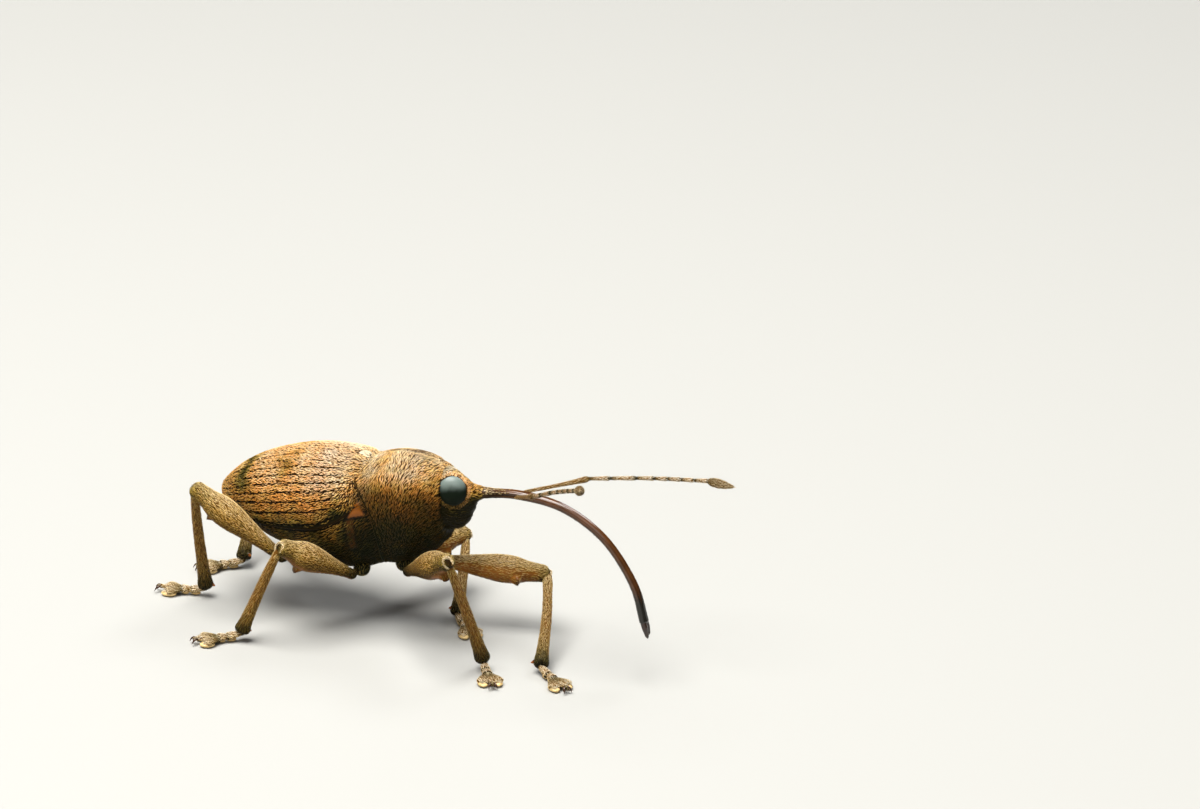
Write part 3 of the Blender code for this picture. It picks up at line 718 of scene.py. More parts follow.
@dataclass(frozen=True)
class Markings:
    """How light and how warm the animal is from place to place, alike for its skin and its coat."""

    seed: int = 11

    def tone(self, body: Array) -> Array:
        """Return lightness from 0, dark olive, to 1, cream, at points in the body's axes: darker towards the
        underside and lighter towards the top, partly the animal's own colours and partly painted shade and
        painted light from above.
        """
        x, z = body[..., 0], body[..., 2]
        # Painted shade and light in part: these steps with height darken the underside and lighten the top,
        # over the animal's own olive underside and cream crown.
        side = 0.01 + 0.06 * step_up(z, -1.0, -0.1)
        side = side + 0.27 * step_up(z, -0.1, 1.0) + 0.43 * step_up(z, 0.7, 1.6)
        wing = step_up(-x, -0.5, 0.0) * step_up(z, -0.35, 0.1)
        upper = 1 - 0.6 * step_up(z, 0.9, 1.6)
        clouds = 0.05 * swell(body, 1.1, self.seed + 1)
        return np.clip(side + 0.30 * wing * upper - 0.40 * self.patches(body) + clouds, 0.0, 1.0)

    def patches(self, body: Array) -> Array:
        """Return the olive patches of the wing cases, from 0 to 1, at points in the body's axes."""
        x, y, z = body[..., 0], body[..., 1], body[..., 2]
        wing = step_up(-x, -0.5, 0.0) * step_up(z, -0.35, 0.1)
        rear = hump(x, -3.50, 0.34) * step_up(z, 0.45, 1.0)
        middle = 0.75 * hump(x, -1.95, 0.30) * step_up(z, 0.95, 1.55) * step_up(np.abs(y), 0.15, 0.5)
        hip = 0.65 * hump(x, -0.12, 0.36) * hump(z, 0.42, 0.26)
        return wing * (rear + middle + hip) * (1 + 0.5 * swell(body, 0.5, self.seed))

    def hue(self, body: Array) -> Array:
        """Return warmth from 0, cream, to 1, orange, at points in the body's axes."""
        x, z = body[..., 0], body[..., 2]
        fore = 0.50 * hump(z, 0.50, 0.75) * step_up(x, 0.0, 0.5)
        wing = 0.46 * step_up(-x, -0.1, 0.5) * step_up(z, -0.2, 0.6) * (1 - 0.4 * step_up(-x, 2.6, 3.6))
        clouds = 0.22 * swell(body, 0.55, self.seed + 2)
        return np.clip(0.36 + fore + wing - 0.6 * self.patches(body) + clouds, 0.0, 1.0)

    def frost(self, body: Array) -> Array:
        """Return a painted highlight as greyness from 0, coloured, to 1, grey white, at points in the body's
        axes: a painted sheen on the fore body's crown, near its hind edge and on the upper front of the wing
        cases.
        """
        x, z = body[..., 0], body[..., 2]
        crown = 0.50 * hump(x, 1.80, 0.75) * step_up(z, 0.8, 1.5)
        hem = 0.40 * hump(x, 0.62, 0.24) * step_up(z, 0.2, 1.0)
        wing = 0.45 * hump(x, -0.60, 0.60) * step_up(z, 0.6, 1.3)
        return np.clip(crown + hem + wing + 0.12 * swell(body, 0.7, self.seed + 3), 0.0, 1.0)


MARKINGS = Markings()


class Socket:
    """A node's output that can be used in sums: each operation adds the Math node that it needs."""

    def __init__(self, board: "Board", socket: bpy.types.NodeSocket) -> None:
        """Keep the output and the board that it is on."""
        self.board = board
        self.socket = socket

    def __add__(self, other: "Socket | float") -> "Socket":
        """Add."""
        return self.board.math("ADD", self, other)

    __radd__ = __add__

    def __mul__(self, other: "Socket | float") -> "Socket":
        """Multiply."""
        return self.board.math("MULTIPLY", self, other)

    __rmul__ = __mul__

    def __sub__(self, other: "Socket | float") -> "Socket":
        """Take away."""
        return self.board.math("SUBTRACT", self, other)

    def __rsub__(self, other: "Socket | float") -> "Socket":
        """Take this away from the other."""
        return self.board.math("SUBTRACT", other, self)

    def clamped(self) -> "Socket":
        """Return the value held between 0 and 1."""
        node = self.board.node("ShaderNodeClamp", {}, {"Value": self})
        return Socket(self.board, node.outputs[0])

    def between(self, low: float, high: float) -> "Socket":
        """Return a smooth rise from 0 at low to 1 at high."""
        node = self.board.node(
            "ShaderNodeMapRange", {"interpolation_type": "SMOOTHSTEP"},
            {"Value": self, "From Min": low, "From Max": high},
        )
        return Socket(self.board, node.outputs[0])


Colour = tuple[float, float, float]
Stops = tuple[tuple[float, Colour], ...]


class Board:
    """One material's nodes."""

    def __init__(self, name: str) -> None:
        """Start an empty material.

        Args:
            name: The material's name.
        """
        self.material = bpy.data.materials.new(name)
        self.material.use_nodes = True
        self.tree = self.material.node_tree
        self.tree.nodes.clear()
        place = self.node("ShaderNodeTexCoord", {}, {})
        self.place = Socket(self, place.outputs["Object"])

    def node(self, kind: str, settings: dict, inputs: dict) -> bpy.types.Node:
        """Add any node.

        Args:
            kind: The node's type.
            settings: Its own settings, among them a ramp's stops.
            inputs: A value or a link for each socket, by its name or number.

        Returns:
            The node.
        """
        made = self.tree.nodes.new(kind)
        for key, value in settings.items():
            if key == "stops":
                self._set_stops(made.color_ramp, value)
            else:
                setattr(made, key, value)
        for key, value in inputs.items():
            if isinstance(value, Socket):
                self.tree.links.new(value.socket, made.inputs[key])
            else:
                made.inputs[key].default_value = value
        return made

    @staticmethod
    def _set_stops(ramp: bpy.types.ColorRamp, stops: Stops) -> None:
        """Set a ramp's stops."""
        while len(ramp.elements) < len(stops):
            ramp.elements.new(0.5)
        for element, (place, colour) in zip(ramp.elements, stops):
            element.position = place
            element.color = (*colour, 1.0)

    def math(self, operation: str, *values: "Socket | float") -> Socket:
        """Add a Math node."""
        made = self.node("ShaderNodeMath", {"operation": operation}, dict(enumerate(values)))
        return Socket(self, made.outputs[0])

    def mark(self, mark: Mark) -> Socket:
        """Read one of the numbers that the mesh keeps."""
        made = self.node("ShaderNodeAttribute", {"attribute_name": mark.value}, {})
        return Socket(self, made.outputs["Fac"])

    def ramp(self, factor: Socket, stops: Stops) -> Socket:
        """Turn a number into a colour."""
        made = self.node("ShaderNodeValToRGB", {"stops": stops}, {"Fac": factor})
        return Socket(self, made.outputs["Color"])

    def mix(self, factor: Socket, first: "Socket | Colour", second: "Socket | Colour") -> Socket:
        """Mix two colours.

        Args:
            factor: How much of the second.
            first: The colour at 0.
            second: The colour at 1.

        Returns:
            The mixed colour.
        """
        first, second = ((*c, 1.0) if isinstance(c, tuple) else c for c in (first, second))
        made = self.node("ShaderNodeMix", {"data_type": "RGBA"}, {0: factor, 6: first, 7: second})
        return Socket(self, made.outputs[2])

    def noise(self, wavelength: float, detail: float = 2.0) -> Socket:
        """Return cloudy noise from 0 to 1.

        Args:
            wavelength: The size of its clouds, in millimetres.
            detail: How much finer noise it holds.

        Returns:
            The noise.
        """
        inputs = {"Vector": self.place, "Scale": 1.0 / (wavelength * MM), "Detail": detail}
        return Socket(self, self.node("ShaderNodeTexNoise", {}, inputs).outputs["Fac"])

    def cells(self, size: float) -> Socket:
        """Return the distance from the middle of round cells, whose size is in millimetres."""
        made = self.node("ShaderNodeTexVoronoi", {}, {"Vector": self.place, "Scale": 1.0 / (size * MM)})
        return Socket(self, made.outputs["Distance"])

    def bump(self, height: Socket, depth: float, strength: float = 1.0) -> Socket:
        """Turn a height into a normal.

        Args:
            height: The height, from 0 to 1.
            depth: What a height of 1 stands for, in millimetres.
            strength: How much of the bump shows.

        Returns:
            The bumped normal.
        """
        inputs = {"Height": height, "Distance": depth * MM, "Strength": strength}
        return Socket(self, self.node("ShaderNodeBump", {}, inputs).outputs["Normal"])

    def surface(self, inputs: dict) -> bpy.types.Material:
        """Close the material with its shader.

        Args:
            inputs: A value or a link for each of the shader's sockets that is set.

        Returns:
            The material.
        """
        shader = self.node("ShaderNodeBsdfPrincipled", {}, inputs)
        self.node("ShaderNodeOutputMaterial", {}, {"Surface": Socket(self, shader.outputs[0])})
        return self.material


@dataclass(frozen=True)
class ShellFinish:
    """Hard shell: dark to warm by its tone, polished where it is bare, and dark where its deep mark is set:
    in its grooves and seams, and as painted shade on the snout's lower side, under the wing cases' edge and
    along their front edge.
    """

    name: str
    stops: Stops
    polish: Colour = (0.29, 0.086, 0.007)
    # The dark that the deep mark mixes in, for real grooves and seams and for painted shade.
    groove: Colour = (0.006, 0.005, 0.002)
    dulled: float = 0.62
    roughness: float = 0.46
    polished: float = 0.16
    grain: float = 0.020
    gloss: float = 0.06
    varnish: float = 0.35

    def material(self) -> bpy.types.Material:
        """Make the material."""
        board = Board(self.name)
        clouds = board.noise(0.22, 3.0)
        tone = (board.mark(Mark.TONE) + (clouds - 0.5) * 0.30).clamped()
        bare = board.mark(Mark.BARE)
        deep = board.mark(Mark.DEEP)
        colour = board.ramp(tone, self.stops)
        dull = tuple(channel * self.dulled for channel in self.polish)
        worn = board.mix(board.noise(0.4, 2.0).between(0.35, 0.7), self.polish, dull)
        colour = board.mix(deep, board.mix(bare, colour, worn), self.groove)
        height = board.noise(0.05, 2.0) * 0.6 + board.cells(0.075) * 0.5
        rough = (1 - bare) * (self.roughness - self.polished) + self.polished + (clouds - 0.5) * 0.08
        return board.surface({
            "Base Color": colour,
            "Roughness": rough,
            "Normal": board.bump(height * (1 - bare * 0.9), self.grain),
            "Specular IOR Level": self.gloss,
            "Coat Weight": bare * self.varnish,
            "Coat Roughness": self.polished,
        })


@dataclass(frozen=True)
class CoatFinish:
    """Flat hair-like scales, between a cream and an orange row of colours."""

    name: str
    cream: Stops
    orange: Stops
    grey: Stops
    roughness: float = 0.44
    sheen: float = 0.015
    gloss: float = 0.10

    def material(self) -> bpy.types.Material:
        """Make the material."""
        board = Board(self.name)
        tone, hue = board.mark(Mark.TONE), board.mark(Mark.HUE)
        clouds = board.noise(0.09, 2.0)
        tone = (tone + (clouds - 0.5) * 0.16).clamped()
        colour = board.mix(hue.clamped(), board.ramp(tone, self.cream), board.ramp(tone, self.orange))
        # Greyed towards the grey ramp: grey hairs where the animal has them, and a painted highlight on the
        # body's top and the upper sides of legs and feelers.
        colour = board.mix(board.mark(Mark.FROST).clamped(), colour, board.ramp(tone, self.grey))
        return board.surface({
            "Base Color": colour,
            "Specular IOR Level": self.gloss,
            "Roughness": (clouds - 0.5) * 0.2 + self.roughness,
            "Sheen Weight": self.sheen,
            "Sheen Roughness": 0.35,
            "Sheen Tint": (1.0, 0.86, 0.76, 1.0),
        })


@dataclass(frozen=True)
class EyeFinish:
    """A dark gloss of fine round facets, with a painted reflection: paler grey-green over the upper half,
    darkest below.
    """

    name: str
    deep: Colour = (0.001, 0.005, 0.001)
    cloud: Colour = (0.150, 0.190, 0.172)
    facet: float = 0.024

    def material(self) -> bpy.types.Material:
        """Make the material."""
        board = Board(self.name)
        # Painted reflection: the tone mark, high on the eye's upper half, mixes in the pale reflection
        # colour, and the lower half stays near the dark colour.
        clouds = (board.mark(Mark.TONE) + (board.noise(0.30, 2.0) - 0.5) * 0.4).between(0.10, 1.0)
        return board.surface({
            "Base Color": board.mix(clouds, self.deep, self.cloud),
            "Roughness": 0.52 - clouds * 0.20,
            "Specular IOR Level": 0.14,
            "Normal": board.bump(1 - board.cells(self.facet), 0.005, 0.7),
            "Coat Weight": clouds * 0.40,
            "Coat Roughness": 0.26,
        })


@dataclass(frozen=True)
class HornFinish:
    """Plain glossy horn, as of claws and jaws, between two colours."""

    name: str
    first: Colour
    second: Colour
    roughness: float = 0.2

    def material(self) -> bpy.types.Material:
        """Make the material."""
        board = Board(self.name)
        return board.surface({
            "Base Color": board.mix(board.mark(Mark.TONE), self.first, self.second),
            "Roughness": board.noise(0.08, 2.0) * 0.15 + (self.roughness - 0.07),
            "Coat Weight": 0.3,
        })


CREAM_STOPS: Stops = (
    (0.00, (0.012, 0.014, 0.002)), (0.28, (0.080, 0.070, 0.009)), (0.50, (0.38, 0.255, 0.042)),
    (0.75, (0.78, 0.55, 0.165)), (1.00, (0.97, 0.83, 0.52)),
)
ORANGE_STOPS: Stops = (
    (0.00, (0.024, 0.014, 0.002)), (0.28, (0.14, 0.055, 0.006)), (0.50, (0.49, 0.180, 0.020)),
    (0.75, (0.88, 0.37, 0.070)), (1.00, (0.98, 0.64, 0.31)),
)
GREY_STOPS: Stops = (
    (0.00, (0.016, 0.017, 0.008)), (0.28, (0.095, 0.085, 0.040)), (0.50, (0.36, 0.30, 0.17)),
    (0.75, (0.72, 0.62, 0.44)), (1.00, (0.94, 0.87, 0.74)),
)
BODY_SHELL: Stops = (
    (0.00, (0.004, 0.006, 0.001)), (0.35, (0.010, 0.007, 0.001)), (0.60, (0.030, 0.012, 0.002)),
    (0.85, (0.065, 0.025, 0.004)), (1.00, (0.11, 0.045, 0.009)),
)
LIMB_SHELL: Stops = (
    (0.00, (0.006, 0.005, 0.002)), (0.25, (0.022, 0.013, 0.003)), (0.50, (0.065, 0.033, 0.006)),
    (0.80, (0.14, 0.068, 0.012)), (1.00, (0.28, 0.15, 0.04)),
)


class Finish(Enum):
    """Every finish of the animal."""

    SHELL = ShellFinish("body_shell", BODY_SHELL)
    LIMB = ShellFinish("limb_shell", LIMB_SHELL, (0.40, 0.135, 0.016), roughness=0.40, polished=0.25)
    SNOUT = ShellFinish(
        "snout_shell", BODY_SHELL, (0.100, 0.034, 0.008),
        roughness=0.40, polished=0.20, grain=0.014, varnish=1.0,
    )
    COAT = CoatFinish("scale_coat", CREAM_STOPS, ORANGE_STOPS, GREY_STOPS)
    EYE = EyeFinish("facet_eye")
    CLAW = HornFinish("claw_horn", (0.014, 0.007, 0.004), (0.30, 0.090, 0.012))
    PAD = HornFinish("sole_pad", (0.56, 0.36, 0.12), (0.84, 0.62, 0.28), 0.45)

    def made(self) -> bpy.types.Material:
        """Return this finish's material, made once."""
        return bpy.data.materials.get(self.value.name) or self.value.material()


@dataclass
class Stock:
    """Closed shells gathered for one mesh, with the numbers that its material reads."""

    points: list[Array] = field(default_factory=list)
    quads: list[Array] = field(default_factory=list)
    triangles: list[Array] = field(default_factory=list)
    marks: list[Array] = field(default_factory=list)
    charts: list[Array] = field(default_factory=list)
    count: int = 0

    def add(
        self, points: Array, quads: Array, triangles: Array, marks: dict, chart: Array | None = None
    ) -> None:
        """Take in more geometry.

        Args:
            points: The points, over the floor.
            quads: The four-sided faces, counted from the first of these points.
            triangles: The three-sided faces, counted alike.
            marks: A number or one for each point under each mark.
            chart: The points' places in the bake map, if the mesh has one.
        """
        self.points.append(points)
        self.quads.append(np.asarray(quads, int).reshape(-1, 4) + self.count)
        self.triangles.append(np.asarray(triangles, int).reshape(-1, 3) + self.count)
        rows = [np.broadcast_to(marks.get(mark, 0.0), len(points)) for mark in Mark]
        self.marks.append(np.stack(rows, axis=-1))
        if chart is not None:
            self.charts.append(chart)
        self.count += len(points)

    def add_rings(self, rings: Array, marks: dict) -> None:
        """Take in a tube of rings, closed at both ends.

        Args:
            rings: The rings' points: along the tube, round it, and x, y, z.
            marks: A number, or one for each of the rings' points, under each mark.
        """
        along, around = rings.shape[:2]
        index = np.arange(along * around).reshape(along, around)
        ahead = np.roll(index, -1, axis=1)
        quads = np.stack([index[:-1], ahead[:-1], ahead[1:], index[1:]], axis=-1).reshape(-1, 4)
        first, last = along * around, along * around + 1
        back = np.stack([ahead[0], index[0], np.full(around, first)], axis=-1)
        front = np.stack([index[-1], ahead[-1], np.full(around, last)], axis=-1)
        ends = np.stack([rings[0].mean(axis=0), rings[-1].mean(axis=0)])
        points = np.vstack([rings.reshape(-1, 3), ends])
        triangles = np.vstack([back, front])
        corners = np.vstack([quads[:, (0, 1, 2)], quads[:, (0, 2, 3)], triangles])
        a, b, c = (points[corners[:, k]] for k in range(3))
        if np.einsum("ij,ij->i", a, np.cross(b, c)).sum() < 0:
            quads, triangles = quads[:, ::-1], triangles[:, ::-1]
        full = {}
        for mark, value in marks.items():
            grid = np.broadcast_to(value, (along, around))
            full[mark] = np.concatenate([grid.ravel(), [grid[0].mean(), grid[-1].mean()]])
        self.add(points, quads, triangles, full)

    def add_skin(self, surface: Surface, around: int, along: int) -> None:
        """Take in a surface's own skin."""
        self.add_rings(surface.rings(around, along), surface.grid_marks(around, along))

    def piece(self, name: str, finish: Finish, slot: str, replaced: tuple[str, ...] = ()) -> bpy.types.Object:
        """Make the piece and hang it on the body.

        Args:
            name: The piece's name.
            finish: Its finish.
            slot: Not used.
            replaced: The solids that it stands for.

        Returns:
            The piece.
        """
        points = np.vstack(self.points) * MM
        quads, triangles = np.vstack(self.quads), np.vstack(self.triangles)
        corners = np.concatenate([quads.ravel(), triangles.ravel()])
        sizes = np.concatenate([np.full(len(quads), 4), np.full(len(triangles), 3)])
        starts = np.concatenate([[0], np.cumsum(sizes)[:-1]])
        mesh = bpy.data.meshes.new(name)
        mesh.vertices.add(len(points))
        mesh.vertices.foreach_set("co", points.astype(np.float32).ravel())
        mesh.loops.add(len(corners))
        mesh.loops.foreach_set("vertex_index", corners.astype(np.int32))
        mesh.polygons.add(len(starts))
        mesh.polygons.foreach_set("loop_start", starts.astype(np.int32))
        mesh.update(calc_edges=True)
        mesh.shade_smooth()
        marks = np.vstack(self.marks)
        for column, mark in enumerate(Mark):
            layer = mesh.attributes.new(mark.value, "FLOAT", "POINT")
            layer.data.foreach_set("value", marks[:, column].astype(np.float32))
        if self.charts:
            layer = mesh.uv_layers.new(name="OFBake")
            layer.data.foreach_set("uv", np.vstack(self.charts)[corners].astype(np.float32).ravel())
        mesh.materials.append(finish.made())
        made = bpy.data.objects.new(name, mesh)
        bpy.context.scene.collection.objects.link(made)
        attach(made, BODY)
        if replaced:
            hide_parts(*replaced)
        log.info("%s: %d faces, %d triangles", name, len(sizes), 2 * len(quads) + len(triangles))
        return made


@dataclass(frozen=True)
class Hair:
    """One kind of flat hair, in millimetres and radians."""

    length: float = 0.19
    width: float = 0.030
    lift: float = 0.030
    sink: float = 0.012
    bend: float = 0.06
    spread: float = 0.16
    vary: float = 0.28
    ridge: float = 0.32
    light_tip: float = 0.10
    uneven: float = 0.07
    stations: int = 4


STATIONS = {
    3: ((0.0, 0.60), (0.5, 1.0), (1.0, 0.0)),
    4: ((0.0, 0.55), (0.35, 1.0), (0.72, 0.80), (1.0, 0.0)),
}


@dataclass
class Coat:
    """The hairs of one piece, whose roots stray by a share of the distance between them."""

    seed: int
    stock: Stock = field(default_factory=Stock)
    stray: float = 0.45

    def __post_init__(self) -> None:
        """Start this coat's own row of random draws."""
        self.rng = np.random.default_rng(self.seed)

    def scatter(self, surface: Surface, along: float, across: float) -> tuple[Array, Array]:
        """Spread roots evenly over a surface.

        Args:
            surface: The surface.
            along: The distance between rows, along it.
            across: The distance between roots in a row.

        Returns:
            The roots' u and v.
        """
        lines_u, fine = np.linspace(0.02, 0.98, 25), np.linspace(0.0, 1.0, 241)
        grid = surface.place(*np.meshgrid(lines_u, fine, indexing="ij"))
        steps = np.linalg.norm(np.diff(grid, axis=1), axis=-1)
        longest = steps[np.argmax(steps.sum(axis=1))]
        reach = np.concatenate([[0.0], np.cumsum(longest)])
        rows = np.arange(along / 2, reach[-1], along)
        all_u, all_v = [], []
        for row in rows:
            v = float(np.interp(row, reach, fine))
            ring = surface.place(fine, np.full(241, v))
            arc = np.concatenate([[0.0], np.cumsum(np.linalg.norm(np.diff(ring, axis=0), axis=-1))])
            count = int(arc[-1] / across)
            if count < 1:
                continue
            spots = (np.arange(count) + self.rng.uniform()) / count
            spots = spots + self.rng.uniform(-self.stray, self.stray, count) / count
            strayed = row + self.rng.uniform(-self.stray, self.stray, count) * along
            all_u.append(np.interp(np.mod(spots, 1.0) * arc[-1], arc, fine))
            all_v.append(np.interp(strayed, reach, fine))
        u, v = np.concatenate(all_u), np.concatenate(all_v)
        _, local = surface.slopes(u, v)
        speed = np.interp(v, (fine[1:] + fine[:-1]) / 2, longest) / (fine[1] - fine[0])
        kept = self.rng.uniform(size=len(u)) < np.linalg.norm(local, axis=-1) / speed
        return u[kept], v[kept]

    def grow(
        self, surface: Surface, roots: tuple[Array, Array], lie: Array, hair: Hair, chart: tuple
    ) -> None:
        """Grow hairs over a surface.

        Args:
            surface: The surface.
            roots: The roots' u and v.
            lie: The way that each hair lies, over the floor.
            hair: The kind of hair.
            chart: This surface's own corner of the bake map, as its low and high u and v.
        """
        u, v = roots
        count = len(u)
        across, along = surface.slopes(u, v)
        normal = unit(np.cross(across, along)) * surface.outward
        heading = unit(lie - np.sum(lie * normal, axis=-1, keepdims=True) * normal)
        turn = self.rng.normal(0.0, hair.spread, (count, 1))
        heading = np.cos(turn) * heading + np.sin(turn) * np.cross(normal, heading)
        aside = np.cross(normal, heading)
        length = hair.length * (1 + hair.vary * self.rng.uniform(-1, 1, count))
        width = hair.width * (1 + 0.5 * hair.vary * self.rng.uniform(-1, 1, count))
        pairs = ((across, across), (across, along), (along, along))
        aa, ab, bb = (np.sum(p * q, axis=-1) for p, q in pairs)
        p, q = np.sum(heading * across, axis=-1), np.sum(heading * along, axis=-1)
        scale = length / np.maximum(aa * bb - ab * ab, 1e-9)
        du, dv = (p * bb - q * ab) * scale, (q * aa - p * ab) * scale
        bend = self.rng.normal(0.0, hair.bend, count) * length
        marks = surface.marks(u, v)
        tone = marks[Mark.TONE] + self.rng.normal(0.0, hair.uneven, count)
        hue = marks[Mark.HUE] + self.rng.normal(0.0, 1.6 * hair.uneven, count)
        frost = marks[Mark.FROST] + self.rng.normal(0.0, 1.2 * hair.uneven, count)
        points, tones, places = [], [], []
        chart_u = chart[0] + (chart[2] - chart[0]) * u
        chart_v = chart[1] + (chart[3] - chart[1]) * v
        for share, wide in STATIONS[hair.stations]:
            to_u, to_v = u + du * share, v + dv * share
            on_u = to_u if surface.wraps else np.clip(to_u, 0.0, 1.0)
            on_v = np.clip(to_v, 0.0, 1.0)
            over = surface.normal(on_u, on_v)
            middle = surface.place(on_u, on_v)
            middle = middle + across * (to_u - on_u)[:, None] + along * (to_v - on_v)[:, None]
            height = -hair.sink + (hair.lift + hair.sink) * share**0.8
            middle = middle + over * height + aside * (bend * share**2)[:, None]
            half = aside * (0.5 * wide * width)[:, None]
            crest = middle + over * (hair.ridge * wide * width)[:, None]
            corners = (middle - half, middle + half, crest) if wide else (middle,)
            shifts = (-0.0015, 0.0015, 0.0) if wide else (0.0,)
            for corner, shift in zip(corners, shifts):
                points.append(corner)
                tones.append(tone + hair.light_tip * (share - 0.4))
                places.append(np.stack([chart_u + shift, chart_v + (share - 0.5) * 0.003], axis=-1))
        block = np.stack(points, axis=1)
        base = (np.arange(count) * block.shape[1])[:, None]
        quads = []
        for ring in range(hair.stations - 2):
            low, high = 3 * ring, 3 * ring + 3
            for a, b in ((1, 0), (0, 2), (2, 1)):
                quads.append(base + np.array((low + a, low + b, high + b, high + a)))
        tip = block.shape[1] - 1
        last = ((tip - 2, tip - 3, tip), (tip - 3, tip - 1, tip), (tip - 1, tip - 2, tip))
        ends = [base + np.array(face) for face in ((0, 1, 2), *last)]
        numbers = {
            Mark.TONE: np.stack(tones, axis=1).ravel(),
            Mark.HUE: np.repeat(hue, block.shape[1]),
            Mark.FROST: np.repeat(frost, block.shape[1]),
        }
        places = np.stack(places, axis=1).reshape(-1, 2)
        self.stock.add(block.reshape(-1, 3), np.vstack(quads), np.vstack(ends), numbers, places)

    def piece(self, name: str, slot: str) -> bpy.types.Object:
        """Make the coat's piece."""
        return self.stock.piece(name, Finish.COAT, slot)


def lie_along(surface: Surface, roots: tuple[Array, Array]) -> Array:
    """Return the way along a surface at each root."""
    _, along = surface.slopes(*roots)
    return unit(along)


def lie_by(*vectors: tuple[Array | float, tuple[float, float, float]]) -> Array:
    """Return a sum of weighted directions of the body, over the floor."""
    total = sum(np.asarray(weight)[..., None] * np.array(direction) for weight, direction in vectors)
    return total @ TURN.T


@dataclass
class BallPatch(Ball):
    """A ball of one colour that hairs grow on."""

    tone: float = 0.6
    hue: float = 0.4
    frost: float = 0.0

    def marks(self, u: Array, v: Array) -> dict[Mark, Array]:
        """Return the marks at each place."""
        numbers = {Mark.TONE: self.tone, Mark.HUE: self.hue, Mark.FROST: self.frost}
        return {mark: np.full(np.shape(u), number) for mark, number in numbers.items()}


def hip_coat(coat: Coat, pair: Pair, side: Side, number: int) -> None:
    """Grow the sparse hairs of one hip.

    Args:
        coat: The coat that they belong to.
        pair: The pair of legs.
        side: The side of the animal.
        number: Which corner of the bake map is this hip's.
    """
    place, radius = pair.value
    centre = to_floor(side.mirror(place))
    ball = BallPatch(centre, np.full(3, radius - HIP_INSET), tone=0.26, hue=0.15, frost=0.3)
    roots = coat.scatter(ball, 0.075, 0.050)
    lie = lie_by((np.full(len(roots[0]), 1.0), tuple(side.mirror((0.2, 0.6, -0.8)))))
    low = 0.02 + 0.24 * number
    hair = Hair(0.13, 0.018, 0.022, spread=0.2, stations=3)
    coat.grow(ball, roots, lie, hair, (low, 0.84, low + 0.2, 0.98))


@dataclass
class ForeBody:
    """The pronotum and its coat, with the two front hips."""

    skin: PronotumSkin = field(default_factory=PronotumSkin)
    hair: Hair = Hair(0.132, 0.0195, 0.022, spread=0.20)
    row: float = 0.064
    pitch: float = 0.038

    def lie(self, body: Array) -> Array:
        """Return the way that the hairs lie: up the sides, and forward near the head and the hind edge."""
        x, y, z = body[..., 0], body[..., 1], body[..., 2]
        front = step_up(x, 1.6, 2.6)
        rear = hump(x, 0.5, 0.45) * step_up(z, 0.3, 1.0)
        top = step_up(z, 1.0, 1.7)
        wave = 0.18 * np.sin(2 * np.pi * (z / 1.3 + 0.3 * swell(body, 1.5, 31)))
        ahead = 0.12 + 0.85 * front + 0.75 * rear + 0.45 * top * (1 - hump(x, 1.4, 0.4)) + wave
        ahead = ahead - 0.35 * hump(x, 1.4, 0.45) * top
        inward = -np.sign(y) * step_up(np.abs(y), 0.0, 0.15)
        return lie_by((ahead, (1, 0, 0)), (np.ones_like(x), (0, 0, 1)), (0.55 * inward, (0, 1, 0)))

    def build(self) -> None:
        """Build the fore body."""
        stock = Stock()
        stock.add_skin(self.skin, 160, 120)
        place, radius = Pair.FRONT.value
        for side in Side:
            hip = Ball(to_floor(side.mirror(place)), np.full(3, radius - HIP_INSET))
            stock.add_rings(hip.rings(28, 20), {Mark.TONE: 0.0})
        stock.piece("pronotum_skin", Finish.SHELL, "shell", ("prothorax",))
        coat = Coat(21)
        roots = coat.scatter(self.skin, self.row, self.pitch)
        kept = (roots[1] > 0.007) & (roots[1] < 0.975)
        roots = (roots[0][kept], roots[1][kept])
        lie = self.lie(to_body(self.skin.place(*roots)))
        coat.grow(self.skin, roots, lie, self.hair, (0.02, 0.02, 0.98, 0.80))
        for number, side in enumerate(Side):
            hip_coat(coat, Pair.FRONT, side, number)
        coat.piece("pronotum_coat", "shell")


